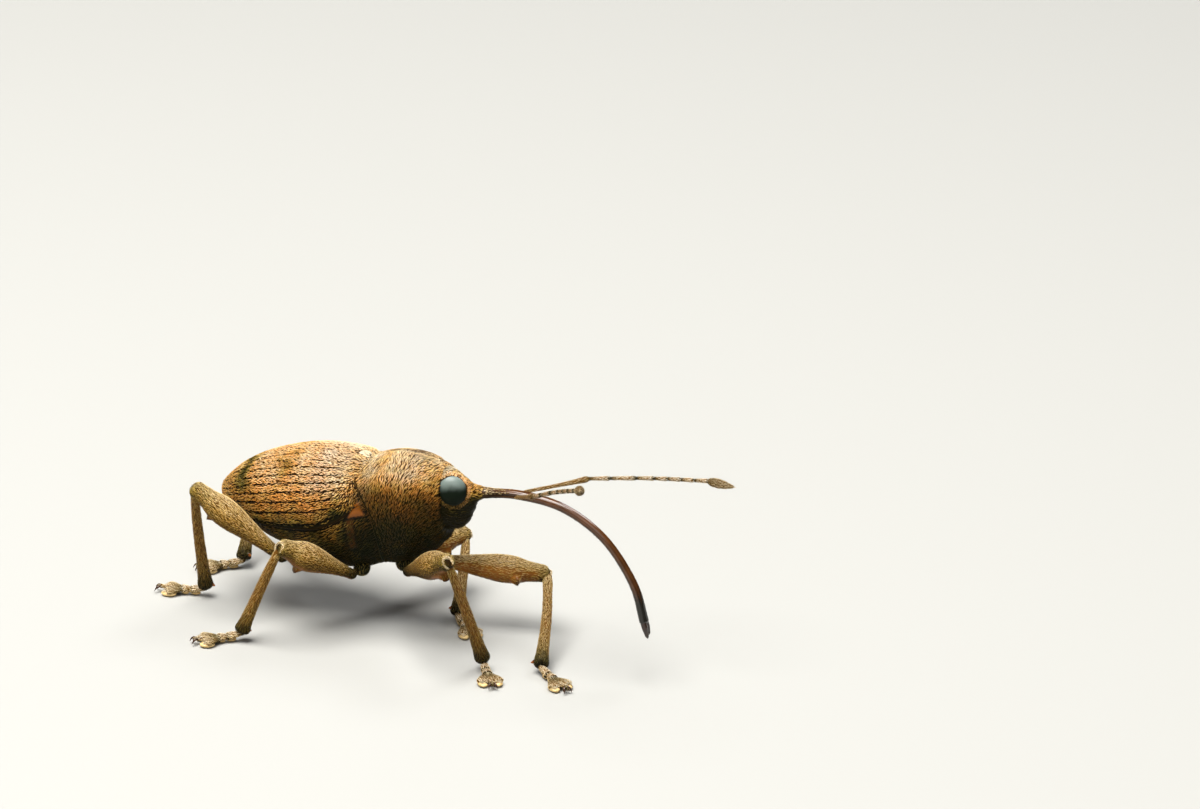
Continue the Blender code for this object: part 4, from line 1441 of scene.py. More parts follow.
@dataclass
class HindBody:
    """The wing cases, the small shield between them and the underside."""

    wing_hair: Hair = Hair(0.125, 0.0205, 0.018, spread=0.17)
    belly_hair: Hair = Hair(0.15, 0.024, 0.026)
    wing_row: float = 0.062
    wing_pitch: float = 0.037
    belly_row: float = 0.080
    belly_pitch: float = 0.055
    shield_centre: tuple[float, float, float] = (0.17, 0.0, 1.64)
    shield_radii: tuple[float, float, float] = (0.22, 0.14, 0.145)

    def _wing(self, side: Side) -> None:
        """Build one wing case and its coat."""
        skin = WingSkin(side)
        around, along = 200, 240
        rings = skin.closed_rings(around, along)
        spare = rings.shape[1] - around
        marks = {
            mark: np.pad(value, ((0, 0), (0, spare)), mode="edge")
            for mark, value in skin.grid_marks(around, along).items()
        }
        stock = Stock()
        stock.add_rings(rings, marks)
        stock.piece(f"wing_case_{side.word}", Finish.SHELL, "wing", (f"elytron_{side.word}",))
        coat = Coat(40 + side.value)
        u, v = coat.scatter(skin, self.wing_row, self.wing_pitch)
        body = to_body(skin.place(u, v))
        off = np.abs(skin.across_groove(u, body[..., 0]))
        by_shield = (np.abs(body[..., 1]) < 0.13) & (body[..., 0] > -0.02)
        bare = skin.groove_width * (0.92 - 0.45 * skin.faint(u, body[..., 0]))
        kept = (off > bare) & (v > 0.001) & (u > 0.036) & ~by_shield
        roots = (u[kept], v[kept])
        body = body[kept]
        index = np.floor(roots[0] * skin.grooves + 0.5)
        low = 1 - step_up(roots[0], 0.45, 0.8)
        wander = body[..., 0] / 0.46 + 0.9 * swell(body, 0.8, 77)
        zigzag = (0.05 + 0.12 * low) * np.sin(2 * np.pi * wander + 1.9 * index)
        shoulder = 0.9 * hump(body[..., 0], 0.35, 0.45) * (1 - step_up(roots[0], 0.55, 0.95))
        across, along_way = skin.slopes(*roots)
        lie = unit(along_way) + unit(across) * (zigzag - shoulder)[:, None]
        coat.grow(skin, roots, lie, self.wing_hair, (0.02, 0.02, 0.98, 0.98))
        coat.piece(f"wing_coat_{side.word}", "wing")

    def _belly(self) -> None:
        """Build the underside with its four hips, and its coat."""
        skin = BellySkin()
        stock = Stock()
        stock.add_skin(skin, 120, 200)
        for pair in (Pair.MIDDLE, Pair.HIND):
            place, radius = pair.value
            for side in Side:
                hip = Ball(to_floor(side.mirror(place)), np.full(3, radius - HIP_INSET))
                stock.add_rings(hip.rings(28, 20), {Mark.TONE: 0.0})
        stock.piece("belly_skin", Finish.SHELL, "belly", ("thorax", "abdomen"))
        coat = Coat(51)
        roots = coat.scatter(skin, self.belly_row, self.belly_pitch)
        marks = skin.marks(*roots)
        kept = (marks[Mark.BARE] < 0.4 * coat.rng.uniform(0.4, 2.2, len(roots[0]))) & (marks[Mark.DEEP] < 0.6)
        roots = (roots[0][kept], roots[1][kept])
        coat.grow(skin, roots, lie_along(skin, roots), self.belly_hair, (0.02, 0.02, 0.98, 0.80))
        number = 0
        for pair in (Pair.MIDDLE, Pair.HIND):
            for side in Side:
                hip_coat(coat, pair, side, number)
                number += 1
        coat.piece("belly_coat", "belly")

    def _shield(self) -> None:
        """Build the small shield as a raised cream tuft."""
        centre = to_floor(self.shield_centre)
        ball = Ball(centre, np.array(self.shield_radii), TURN)
        stock = Stock()
        stock.add_rings(ball.rings(28, 20), {Mark.TONE: 0.6})
        stock.piece("shield", Finish.SHELL, "shield", ("scutellum",))
        tuft = BallPatch(centre, np.array(self.shield_radii), TURN, tone=0.96, hue=0.05, frost=0.55)
        coat = Coat(61)
        u, v = coat.scatter(tuft, 0.035, 0.030)
        kept = v > 0.40
        roots = (u[kept], v[kept])
        lie = lie_by((-np.ones(kept.sum()), (1, 0, 0)), (0.1 * np.ones(kept.sum()), (0, 0, 1)))
        coat.grow(tuft, roots, lie, Hair(0.17, 0.026, 0.035), (0.02, 0.02, 0.98, 0.98))
        coat.piece("shield_coat", "shield")

    def build(self) -> None:
        """Build the hind body."""
        for side in Side:
            self._wing(side)
        self._belly()
        self._shield()


@dataclass
class Head:
    """The head and snout in one skin, the eyes, the jaws and the face's coat."""

    skin: HeadSkin = field(default_factory=HeadSkin)
    snout: SnoutSkin = field(default_factory=SnoutSkin)
    around: int = 72
    jaw_length: float = 0.40
    hair: Hair = Hair(0.13, 0.024, 0.022, spread=0.2)
    rim_hair: Hair = Hair(0.072, 0.018, 0.018, spread=0.10)

    def _skin(self) -> None:
        """Build the head and snout as one shell."""
        head = self.skin.rings(self.around, 90)
        snout = self.snout.rings(self.around, 260)
        first, second = self.skin.grid_marks(self.around, 90), self.snout.grid_marks(self.around, 260)
        marks = {mark: np.vstack([first[mark], second[mark][1:]]) for mark in first}
        stock = Stock()
        stock.add_rings(np.concatenate([head, snout[1:]]), marks)
        stock.piece(
            "head_and_snout", Finish.SNOUT, "snout", ("head", "rostrum_base", "rostrum_middle", "rostrum_tip")
        )

    def _eyes(self) -> None:
        """Build both eyes."""
        for side in Side:
            axes = TURN @ eye_axes(side)
            ball = Ball(to_floor(eye_middle(side)), EYE_RADII, axes)
            stock = Stock()
            rings = ball.rings(72, 48)
            # Painted reflection and shade: tone rises from the eye's lower part to its upper part, where the
            # pale reflection is painted.
            rise = to_body(rings)[..., 2] - eye_middle(side)[2]
            stock.add_rings(rings, {Mark.TONE: step_up(rise, -0.14, 0.40)})
            stock.piece(f"eye_ball_{side.word}", Finish.EYE, "eye", (f"eye_{side.word}",))

    def _jaws(self) -> None:
        """Build the two small jaws at the tip of the snout."""
        rows = read_curve(SNOUT_ROWS, np.array((0.985, 1.0)))[:, :3]
        ahead = unit(rows[1] - rows[0])
        stock = Stock()
        for side in Side:
            aside = np.array((0.0, side.value * 0.060, 0.0))
            reach = ahead * self.jaw_length
            line = [
                rows[1] + aside - ahead * 0.10,
                rows[1] + aside * 1.3 + reach * 0.5,
                rows[1] + aside * (0.9 - 0.3 * side.value) + reach * (1.0 - 0.08 * side.value),
            ]
            sizes = Profile(((0.0, 0.105), (0.35, 0.092), (0.6, 0.070), (0.85, 0.055), (1.0, 0.015)))
            jaw = Limb(to_floor(line), sizes, TURN[:, 1])
            stock.add_rings(jaw.rings(20, 24), {Mark.TONE: 0.04})
        stock.piece("jaws", Finish.CLAW, "snout")

    def _coat(self) -> None:
        """Grow the face's scales, with a ring of them round each eye."""
        coat = Coat(71)
        roots = coat.scatter(self.skin, 0.065, 0.046)
        body = to_body(self.skin.place(*roots))
        clear = np.ones(len(body), bool)
        for side in Side:
            clear &= self._ring_share(body, side) > 1.17
        cheek = step_up(0.55 - body[..., 2], 0.0, 0.3) * 0.55
        kept = clear & (coat.rng.uniform(size=len(body)) > cheek) & (body[..., 0] > 2.66)
        roots, body = (roots[0][kept], roots[1][kept]), body[kept]
        lie = lie_by(
            (np.full(len(body), 1.0), (1, 0, 0)), (0.55 * step_up(body[..., 2], 0.4, 1.1), (0, 0, 1)),
            (-0.6 * np.sign(body[..., 1]) * step_up(np.abs(body[..., 1]), 0.05, 0.3), (0, 1, 0)),
        )
        coat.grow(self.skin, roots, lie, self.hair, (0.02, 0.02, 0.48, 0.98))
        roots = coat.scatter(self.snout, 0.060, 0.040)
        height = np.sin(2 * np.pi * roots[0] - np.pi / 2)
        chance = (1 - step_up(roots[1], 0.03, 0.16)) * (0.25 + 0.75 * step_up(height, -0.2, 0.5))
        kept = coat.rng.uniform(size=len(height)) < chance
        roots = (roots[0][kept], roots[1][kept])
        hair = Hair(0.10, 0.018, 0.016)
        coat.grow(self.snout, roots, lie_along(self.snout, roots), hair, (0.52, 0.02, 0.98, 0.48))
        for number, side in enumerate(Side):
            self._rim(coat, side, (0.52 + 0.24 * number, 0.52, 0.74 + 0.24 * number, 0.98))
        coat.piece("face_coat", "shell")

    @staticmethod
    def _ring_share(body: Array, side: Side) -> Array:
        """Return how far points lie from an eye's middle, as a share of its edge."""
        local = (body - eye_middle(side)) @ eye_axes(side)
        far = np.where(side.value * body[..., 1] > 0, 0.0, 9.0)
        return np.hypot(local[..., 0] / EYE_RADII[0], local[..., 1] / EYE_RADII[1]) + far

    def _rim(self, coat: Coat, side: Side, chart: tuple) -> None:
        """Grow the ring of scales round one eye, pointing out from it."""
        rim = EyeRim(side)
        turns = np.linspace(0.0, 1.0, 132, endpoint=False)
        for row in (0.06, 0.34, 0.62, 0.90):
            count = len(turns)
            u = np.mod(turns + coat.rng.uniform(-0.006, 0.006, count) + 0.4 * row / count, 1.0)
            v = np.clip(row + coat.rng.uniform(-0.08, 0.08, count), 0.0, 1.0)
            coat.grow(rim, (u, v), lie_along(rim, (u, v)), self.rim_hair, chart)

    def build(self) -> None:
        """Build the head."""
        self._skin()
        self._eyes()
        self._jaws()
        self._coat()


@dataclass
class EyeRim(Surface):
    """The strip of head round one eye, u round the eye and v out from it."""

    side: Side
    head: HeadSkin = field(default_factory=HeadSkin)

    def __post_init__(self) -> None:
        """Set which way is out, and find the strip on the head's own skin."""
        self.outward = -1.0
        axes, middle = eye_axes(self.side), eye_middle(self.side)
        grid_v, grid_u = np.meshgrid(np.linspace(0, 1, 240), np.linspace(0, 1, 480), indexing="ij")
        body = to_body(self.head.place(grid_u, grid_v)).reshape(-1, 3)
        body = body[self.side.value * body[:, 1] > 0]
        local = (body - middle) @ axes
        turn = np.arctan2(local[:, 1] / EYE_RADII[1], local[:, 0] / EYE_RADII[0])
        ring = np.hypot(local[:, 0] / EYE_RADII[0], local[:, 1] / EYE_RADII[1])
        heights = []
        for share in np.linspace(0.9, 1.5, 7):
            near = (np.abs(ring - share) < 0.05) & (local[:, 2] > -0.40)
            order = np.argsort(turn[near])
            around = np.linspace(-np.pi, np.pi, 64)
            heights.append(np.interp(around, turn[near][order], local[near, 2][order]))
        self.heights = np.array(heights)
        self.axes, self.middle = axes, middle

    def place(self, u: Array, v: Array) -> Array:
        """Return points on the strip, over the floor."""
        turn = np.mod(2 * np.pi * np.asarray(u) + np.pi, 2 * np.pi) - np.pi
        share = 0.94 + 0.27 * np.asarray(v)
        row = np.clip((share - 0.9) / 0.1, 0.0, 5.999)
        column = np.clip((turn + np.pi) / (2 * np.pi) * 63, 0.0, 62.999)
        i, j = row.astype(int), column.astype(int)
        f, g = row - i, column - j
        h = self.heights
        inner = h[i, j] * (1 - g) + h[i, j + 1] * g
        outer = h[i + 1, j] * (1 - g) + h[i + 1, j + 1] * g
        height = inner * (1 - f) + outer * f
        across, along = share * EYE_RADII[0] * np.cos(turn), share * EYE_RADII[1] * np.sin(turn)
        local = np.stack([across, along, height], axis=-1)
        return to_floor(local @ self.axes.T + self.middle)

    def marks(self, u: Array, v: Array) -> dict:
        """Return the marks at each place."""
        turn = 2 * np.pi * np.asarray(u)
        return {
            Mark.TONE: 0.56 + 0.24 * np.sin(turn + 0.8),
            Mark.HUE: 0.62 + 0.25 * np.cos(turn),
            Mark.FROST: 0.25 * np.ones_like(turn),
        }


@dataclass(frozen=True)
class FeelerLine:
    """Where one feeler runs, in the body's axes: its elbow and both ends of its club."""

    side: Side
    elbow: tuple[float, float, float]
    club_root: tuple[float, float, float]
    club_tip: tuple[float, float, float]


@dataclass
class Feeler:
    """One feeler: the long first joint, the beaded lash after its elbow, and the club.

    The rows of the bead shape are the place along a bead, its size and its tone.
    """

    line: FeelerLine
    root: tuple[float, float, float] = (5.08, 0.115, 0.745)
    beads: tuple[float, ...] = (0.18, 0.22, 0.15, 0.11, 0.11, 0.11, 0.12)
    bead_shape: tuple[tuple[float, float, float], ...] = (
        (0.0, 0.0, 0.16), (0.10, 0.42, 0.60), (0.50, 0.72, 0.88),
        (0.80, 1.0, 0.80), (0.90, 0.95, 0.26), (0.97, 0.4, 0.08),
    )
    bead_radius: float = 0.066
    waist: float = 0.037
    club_radius: float = 0.142
    club_rings: tuple[float, ...] = (0.0, 0.30, 0.55, 0.78, 1.0)

    def _scape(self) -> Limb:
        """Return the long first joint."""
        outward = self.line.side.mirror((0.0, 1.0, 0.0))
        root, elbow = self.line.side.mirror(self.root), np.array(self.line.elbow)
        start = root + outward * 0.06
        turn = start + outward * 0.08 + unit(elbow - start) * 0.30
        line = np.array([root, start * 0.35 + turn * 0.65, start + (elbow - start) * 0.55, elbow])
        radii = Profile((
            (0, 0.052), (0.08, 0.046), (0.4, 0.050), (0.7, 0.058), (0.88, 0.080), (0.96, 0.088), (1, 0.05)
        ))
        tint = Profile(
            ((0, 0.50, 0.3, 0.2), (0.3, 0.60, 0.3, 0.1), (0.85, 0.64, 0.3, 0.1), (1, 0.30, 0.3, 0.1))
        )
        return Limb(to_floor(line), radii, TURN[:, 2], tint=tint, frost=0.35)

    def _lash(self) -> Limb:
        """Return the seven beads after the elbow."""
        elbow, club = np.array(self.line.elbow), np.array(self.line.club_root)
        sag = np.array((0.0, 0.0, 0.05))
        ahead = unit(club - elbow)
        line = np.array([elbow - ahead * 0.02, elbow * 0.5 + club * 0.5 + sag, club + ahead * 0.03])
        rows, tints = [], []
        start = 0.0
        for share in self.beads:
            for step, size, tone in self.bead_shape:
                rows.append((start + share * step, self.waist + (self.bead_radius - self.waist) * size))
                tints.append((start + share * step, tone, 0.20, 0.0))
            start += share
        rows.append((1.0, self.waist))
        tints.append((1.0, 0.05, 0.25, 0.1))
        return Limb(to_floor(line), Profile(tuple(rows)), TURN[:, 2], tint=Profile(tuple(tints)), frost=0.75)

    def _club(self) -> Limb:
        """Return the four-ringed club."""
        root, tip = np.array(self.line.club_root), np.array(self.line.club_tip)
        line = np.array([root, (root + tip) / 2, tip])
        rows = []
        for low, high in zip(self.club_rings, self.club_rings[1:]):
            for step, size in ((0.0, 0.92), (0.3, 1.0), (0.8, 1.0), (0.97, 0.93)):
                place = low + (high - low) * step
                outline = math.sin(math.pi * (0.10 + 0.86 * place**0.75)) ** 0.75
                rows.append((place, self.club_radius * outline * size))
        rows.append((1.0, 0.012))
        tint = Profile(((0, 0.50, 0.2, 0.0), (0.4, 0.62, 0.2, 0.0), (1.0, 0.66, 0.2, 0.0)))
        return Limb(to_floor(line), Profile(tuple(rows)), TURN[:, 2], tint=tint, frost=0.6)

    def build(self) -> None:
        """Build the feeler."""
        side = self.line.side
        stock, coat = Stock(), Coat(80 + side.value)
        hairs = (
            (self._scape(), (16, 90), 0.050, 0.040, Hair(0.10, 0.013, 0.018, spread=0.2, stations=3)),
            (self._lash(), (16, 220), 0.036, 0.034, Hair(0.075, 0.0140, 0.020, spread=0.22, stations=3)),
            (self._club(), (24, 80), 0.040, 0.036, Hair(0.09, 0.011, 0.016, spread=0.25)),
        )
        for number, (limb, (around, along), row, pitch, hair) in enumerate(hairs):
            stock.add_skin(limb, around, along)
            roots = coat.scatter(limb, row, pitch)
            low = 0.02 + 0.33 * number
            coat.grow(limb, roots, lie_along(limb, roots), hair, (0.02, low, 0.98, low + 0.30))
        parts = tuple(f"antenna_{side.word}_{part}" for part in ("scape", "funicle", "club"))
        stock.piece(f"feeler_{side.word}", Finish.LIMB, "feeler", parts)
        coat.piece(f"feeler_coat_{side.word}", "feeler")


@dataclass(frozen=True)
class Stance:
    """Where one leg stands, and how far its shin bows out.

    The knee is in the body's axes. Ankle and toe are over the floor, counted from the body's place.
    """

    pair: Pair
    side: Side
    knee: tuple[float, float, float]
    ankle: tuple[float, float]
    toe: tuple[float, float]
    bow: float = 0.05


@dataclass
class Leg:
    """One leg: clubbed thigh with its tooth, shin with its spur, and the foot with split pads and claws."""

    stance: Stance
    gap: float = 0.14
    ankle_height: float = 0.31
    spur_length: float = 0.31
    thigh_steps: int = 24

    def __post_init__(self) -> None:
        """Work out the leg's joints and directions, over the floor."""
        place, self.hip_radius = self.stance.pair.value
        side = self.stance.side
        self.hip = to_floor(side.mirror(place))
        self.knee = to_floor(self.stance.knee)
        self.ankle = np.array((*(np.array(self.stance.ankle) + BODY_PLACE[:2]), self.ankle_height))
        toe = np.array((*(np.array(self.stance.toe) + BODY_PLACE[:2]), self.ankle_height))
        along = unit(self.knee - self.hip)
        self.down = unit(self.ankle - self.knee)
        self.inner = unit(self.down - (self.down @ along) * along)
        self.outer = unit(along - (along @ self.down) * self.down)
        lean = TURN @ side.mirror((0.0, 0.4, -0.7))
        self.reach = unit(along + lean) * (self.hip_radius + self.gap)
        self.ahead = unit(toe - self.ankle)
        self.left = np.array((-self.ahead[1], self.ahead[0], 0.0))

    @property
    def name(self) -> str:
        """Return the leg's name as the nodes have it."""
        return f"leg_{self.stance.pair.word}_{self.stance.side.word}"

    def at(self, x: float, y: float, z: float) -> Array:
        """Return a point of the foot: ahead of the heel, to its left and over the floor."""
        heel = self.ankle * (1.0, 1.0, 0.0)
        return heel + self.ahead * x + self.left * y + np.array((0.0, 0.0, z))

    def thigh(self) -> Limb:
        """Return the thigh, from inside the hip to the knee."""
        start = self.hip + self.reach
        end = self.knee + unit(self.knee - start) * 0.09
        middle = start + (end - start) * 0.45 + self.reach * 0.12 - self.inner * 0.06
        share = np.linspace(0.0, 1.0, self.thigh_steps + 1)
        sizes = Profile((
            (0.00, 0.150), (0.12, 0.175), (0.30, 0.240), (0.48, 0.340), (0.62, 0.415), (0.74, 0.405),
            (0.82, 0.325), (0.90, 0.275), (0.96, 0.262), (0.985, 0.235), (1.0, 0.15),
        ))
        (radius,) = sizes.read(share)
        sag = np.maximum(radius - 0.175, 0) * 0.10
        line = read_curve([start, middle, end], share) + self.inner * sag[:, None]
        stalk = [self.hip + self.reach * 0.45, self.hip + self.reach * 0.75]
        line = np.vstack([stalk, line])
        scale = self.thigh_steps / (self.thigh_steps + 2)
        rows = [(0.0, 0.10), (0.04, 0.11)]
        rows += [(1 - scale + scale * p, float(r)) for p, r in zip(share[:-2:2], radius[::2])]
        rows += [(1 - scale + scale * p, r) for p, r in ((0.955, 0.258), (0.982, 0.215), (1.0, 0.09))]
        tint = Profile((
            (0.0, 0.06, 0.3, 0.0), (0.12, 0.24, 0.3, 0.0), (0.28, 0.48, 0.36, 0.0), (0.70, 0.53, 0.32, 0.05),
            (0.90, 0.46, 0.22, 0.0), (0.955, 0.42, 0.12, 0.0), (1.0, 0.24, 0.1, 0.0),
        ))
        tooth_at = {Pair.FRONT: 0.775, Pair.MIDDLE: 0.70, Pair.HIND: 0.74}[self.stance.pair]
        return Limb(
            line, Profile(tuple(rows)), -self.inner, tooth=0.20, tooth_at=1 - scale + scale * tooth_at,
            tint=tint, bare_belly=0.60, light_back=0.22, frost=0.05,
        )

    def shin(self) -> Limb:
        """Return the shin, from the knee to the heel."""
        middle = self.knee + (self.ankle - self.knee) * 0.45 + self.outer * self.stance.bow
        top = self.knee + self.down * 0.08 + unit(self.knee - self.hip) * 0.05
        line = np.array([top, middle, self.ankle])
        stout, knob = (0.90, 0.135) if self.stance.bow > 0.06 else (0.92, 0.098)
        radii = Profile(tuple((place, stout * size) for place, size in (
            (0.0, knob), (0.03, knob + 0.010), (0.09, knob + 0.020), (0.25, 0.145), (0.5, 0.160),
            (0.75, 0.178), (0.90, 0.210), (0.965, 0.245), (0.99, 0.228), (1.0, 0.12),
        )))
        tint = Profile((
            (0.0, 0.62, 0.0, 0.0), (0.07, 0.60, 0.1, 0.0), (0.16, 0.50, 0.35, 0.10), (0.60, 0.46, 0.40, 0.17),
            (0.80, 0.42, 0.30, 0.08), (0.91, 0.22, 0.3, 0.0), (1.0, 0.03, 0.3, 0.0),
        ))
        return Limb(line, radii, -self.outer, tint=tint, light_back=0.12, bare_belly=0.18, frost=0.10)

    def toes(self) -> list[Limb]:
        """Return the foot's joints."""
        def joint(start: Array, end: Array, sizes: tuple, tones: tuple, flat: float = 0.85) -> Limb:
            """Return one joint that widens to its end."""
            places = (0.0, 0.12, 0.75, 0.95, 1.0)
            tint = Profile(tuple((p, t, 0.20, 0.0) for p, t in zip(places, tones)))
            line = np.array([start, (start + end) / 2 + (0, 0, 0.012), end])
            radii = Profile(tuple(zip(places, sizes)))
            return Limb(line, radii, self.left, flat=flat, tint=tint, light_back=0.12, frost=0.42)

        dark_end = (0.08, 0.66, 0.74, 0.26, 0.04)
        made = [
            joint(
                self.at(-0.06, 0, 0.27), self.at(0.45, 0, 0.17), (0.06, 0.085, 0.125, 0.135, 0.06), dark_end
            ),
            joint(
                self.at(0.41, 0, 0.17), self.at(0.72, 0, 0.165), (0.05, 0.085, 0.145, 0.150, 0.07), dark_end
            ),
            joint(
                self.at(0.90, 0, 0.16), self.at(1.40, 0, 0.20), (0.03, 0.038, 0.052, 0.066, 0.035),
                (0.4, 0.70, 0.70, 0.40, 0.10), 1.0,
            ),
        ]
        for y in (-1, 1):
            made.append(joint(
                self.at(0.66, y * 0.03, 0.165), self.at(1.19, y * 0.262, 0.140),
                (0.04, 0.090, 0.175, 0.160, 0.05), (0.05, 0.30, 0.62, 0.72, 0.76), 0.50,
            ))
        return made

    def _socket_axes(self) -> tuple[Array, Array]:
        """Return the middle of the knee's socket in the thigh's round end, and its axes as columns."""
        along = unit(self.knee - self.hip)
        aside = unit(np.cross(along, self.inner))
        aside = aside * np.sign(aside @ (TURN @ self.stance.side.mirror((0.25, 1.0, 0.1))))
        face = unit(along + 0.35 * aside)
        return self.knee + self.inner * 0.03, np.stack([np.cross(self.inner, face), self.inner, face], axis=1)

    def _socket_share(self, points: Array) -> Array:
        """Return how far points lie from the socket's middle, as a share of its edge."""
        centre, axes = self._socket_axes()
        local = (points - centre) @ axes
        hidden = (local[..., 2] < -0.05) | (self.stance.pair is Pair.HIND)
        return np.hypot(local[..., 0] / 0.130, local[..., 1] / 0.175) + 9.0 * hidden

    def _socket(self, stock: Stock, coat: Coat) -> None:
        """Build the knee's dark socket and the pale rim of hairs round it, but not on the hind legs."""
        if self.stance.pair is Pair.HIND:
            return
        centre, axes = self._socket_axes()
        aside, inner, face = axes.T
        ball = Ball(centre + face * 0.01, np.array((0.150, 0.205, 0.135)), axes)
        stock.add_rings(ball.rings(28, 20), {Mark.TONE: 0.04, Mark.BARE: 0.03})
        turns = np.radians(np.linspace(130.0, 410.0, 13))[:, None]
        line = centre + face * 0.100 + aside * 0.125 * np.cos(turns) + inner * 0.175 * np.sin(turns)
        radii = Profile(((0.0, 0.018), (0.1, 0.030), (0.9, 0.030), (1.0, 0.018)))
        tint = Profile(tuple((place, 0.86, 0.1, 0.0) for place in (0.0, 0.5, 1.0)))
        rim = Limb(line, radii, face, tint=tint, frost=0.3)
        stock.add_skin(rim, 10, 48)
        roots = coat.scatter(rim, 0.030, 0.026)
        hair = Hair(0.075, 0.017, 0.014, spread=0.25, stations=3)
        coat.grow(rim, roots, lie_along(rim, roots), hair, (0.02, 0.91, 0.98, 0.98))

    def _cap(self, coat: Coat) -> None:
        """Grow short hairs over the thigh's round end."""
        limb = self.thigh()
        u, v = coat.scatter(limb, 0.030, 0.026)
        kept = (v > 0.968) & (v < 0.999) & (self._socket_share(limb.place(u, v)) > 0.95)
        roots = (u[kept], v[kept])
        hair = Hair(0.055, 0.0135, 0.012, stations=3)
        coat.grow(limb, roots, lie_along(limb, roots), hair, (0.02, 0.895, 0.98, 0.905))

    def _claws(self) -> None:
        """Build the spur, and the two toothed claws."""
        stock = Stock()
        base = self.ankle - self.down * 0.13
        tip = base - self.outer * self.spur_length + np.array((0.0, 0.0, -0.06))
        line = np.array([base, (base + tip) / 2 + (0, 0, 0.03), tip])
        spur = Limb(line, Profile(((0, 0.13), (0.4, 0.105), (0.75, 0.058), (1, 0.012))), self.left)
        grid = step_up(np.linspace(0.0, 1.0, 24), 0.6, 0.95)[:, None] * np.ones((1, 16))
        stock.add_rings(spur.rings(16, 24), {Mark.TONE: grid})
        for y in (-1, 1):
            hook = np.array([
                self.at(1.35, y * 0.03, 0.19), self.at(1.43, y * 0.08, 0.205),
                self.at(1.50, y * 0.115, 0.150), self.at(1.54, y * 0.125, 0.060),
            ])
            claw = Limb(hook, Profile(((0, 0.032), (0.35, 0.034), (0.7, 0.021), (1, 0.005))), self.left)
            stock.add_rings(claw.rings(14, 28), {Mark.TONE: 0.12})
            inner = np.array([
                self.at(1.42, y * 0.07, 0.19), self.at(1.45, y * 0.065, 0.15),
                self.at(1.465, y * 0.055, 0.105),
            ])
            tooth = Limb(inner, Profile(((0, 0.022), (0.5, 0.017), (1, 0.005))), self.left)
            stock.add_rings(tooth.rings(12, 12), {Mark.TONE: 0.10})
        stock.piece(self.name.replace("leg", "claws"), Finish.CLAW, "foot")

    def _pads(self) -> None:
        """Build the soles that stand on the floor."""
        stock = Stock()
        axes = np.stack([self.ahead, self.left, np.array((0.0, 0.0, 1.0))], axis=1)
        for y in (-1, 1):
            sole = Ball(self.at(1.09, y * 0.222, 0.080), np.array((0.235, 0.160, 0.080)), axes)
            stock.add_rings(sole.rings(28, 16), {Mark.TONE: 0.6})
        for x, radii in ((0.30, (0.16, 0.085, 0.055)), (0.60, (0.12, 0.110, 0.060))):
            sole = Ball(self.at(x, 0.0, 0.080), np.array(radii), axes)
            stock.add_rings(sole.rings(24, 14), {Mark.TONE: 0.2})
        stock.piece(self.name.replace("leg", "soles"), Finish.PAD, "foot")

    def build(self) -> None:
        """Build the leg."""
        seed = 100 + 10 * list(Pair).index(self.stance.pair) + self.stance.side.value
        stock, coat = Stock(), Coat(seed)
        parts = (
            (self.thigh(), (64, 150), 0.052, 0.032, Hair(0.148, 0.0150, 0.017, spread=0.08, stations=3)),
            (self.shin(), (32, 110), 0.050, 0.030, Hair(0.165, 0.0138, 0.021, spread=0.09, stations=3)),
        )
        for number, (limb, (around, along), row, pitch, hair) in enumerate(parts):
            stock.add_skin(limb, around, along)
            u, v = coat.scatter(limb, row, pitch)
            kept = coat.rng.uniform(size=len(u)) > 0.9 * limb.marks(u, v)[Mark.BARE]
            kept &= (self._socket_share(limb.place(u, v)) > 1.0) & (v < 0.975)
            roots = (u[kept], v[kept])
            low = 0.02 + 0.44 * number
            coat.grow(limb, roots, lie_along(limb, roots), hair, (0.02, low, 0.98, low + 0.41))
        self._cap(coat)
        self._socket(stock, coat)
        stock.piece(self.name, Finish.LIMB, "leg", (self.name + "_femur", self.name + "_tibia"))
        coat.piece(self.name.replace("leg", "leg_coat"), "leg")
        foot, fringe = Stock(), Coat(seed + 5)
        hair = Hair(0.115, 0.0155, 0.020, spread=0.2, stations=3)
        for number, limb in enumerate(self.toes()):
            foot.add_skin(limb, 24, 40)
            roots = fringe.scatter(limb, 0.042, 0.030)
            low = 0.02 + 0.19 * number
            fringe.grow(limb, roots, lie_along(limb, roots), hair, (0.02, low, 0.98, low + 0.17))
        foot.piece(self.name.replace("leg", "foot"), Finish.LIMB, "foot", (self.name + "_tarsus",))
        fringe.piece(self.name.replace("leg", "foot_coat"), "foot")
        self._claws()
        self._pads()


@dataclass(frozen=True)
class Lamp:
    """One soft lamp: its way from the animal in degrees, its distance and width in metres, and its power."""

    name: str
    azimuth: float
    elevation: float
    distance: float
    width: float
    watts: float
    colour: Colour = (1.0, 1.0, 1.0)


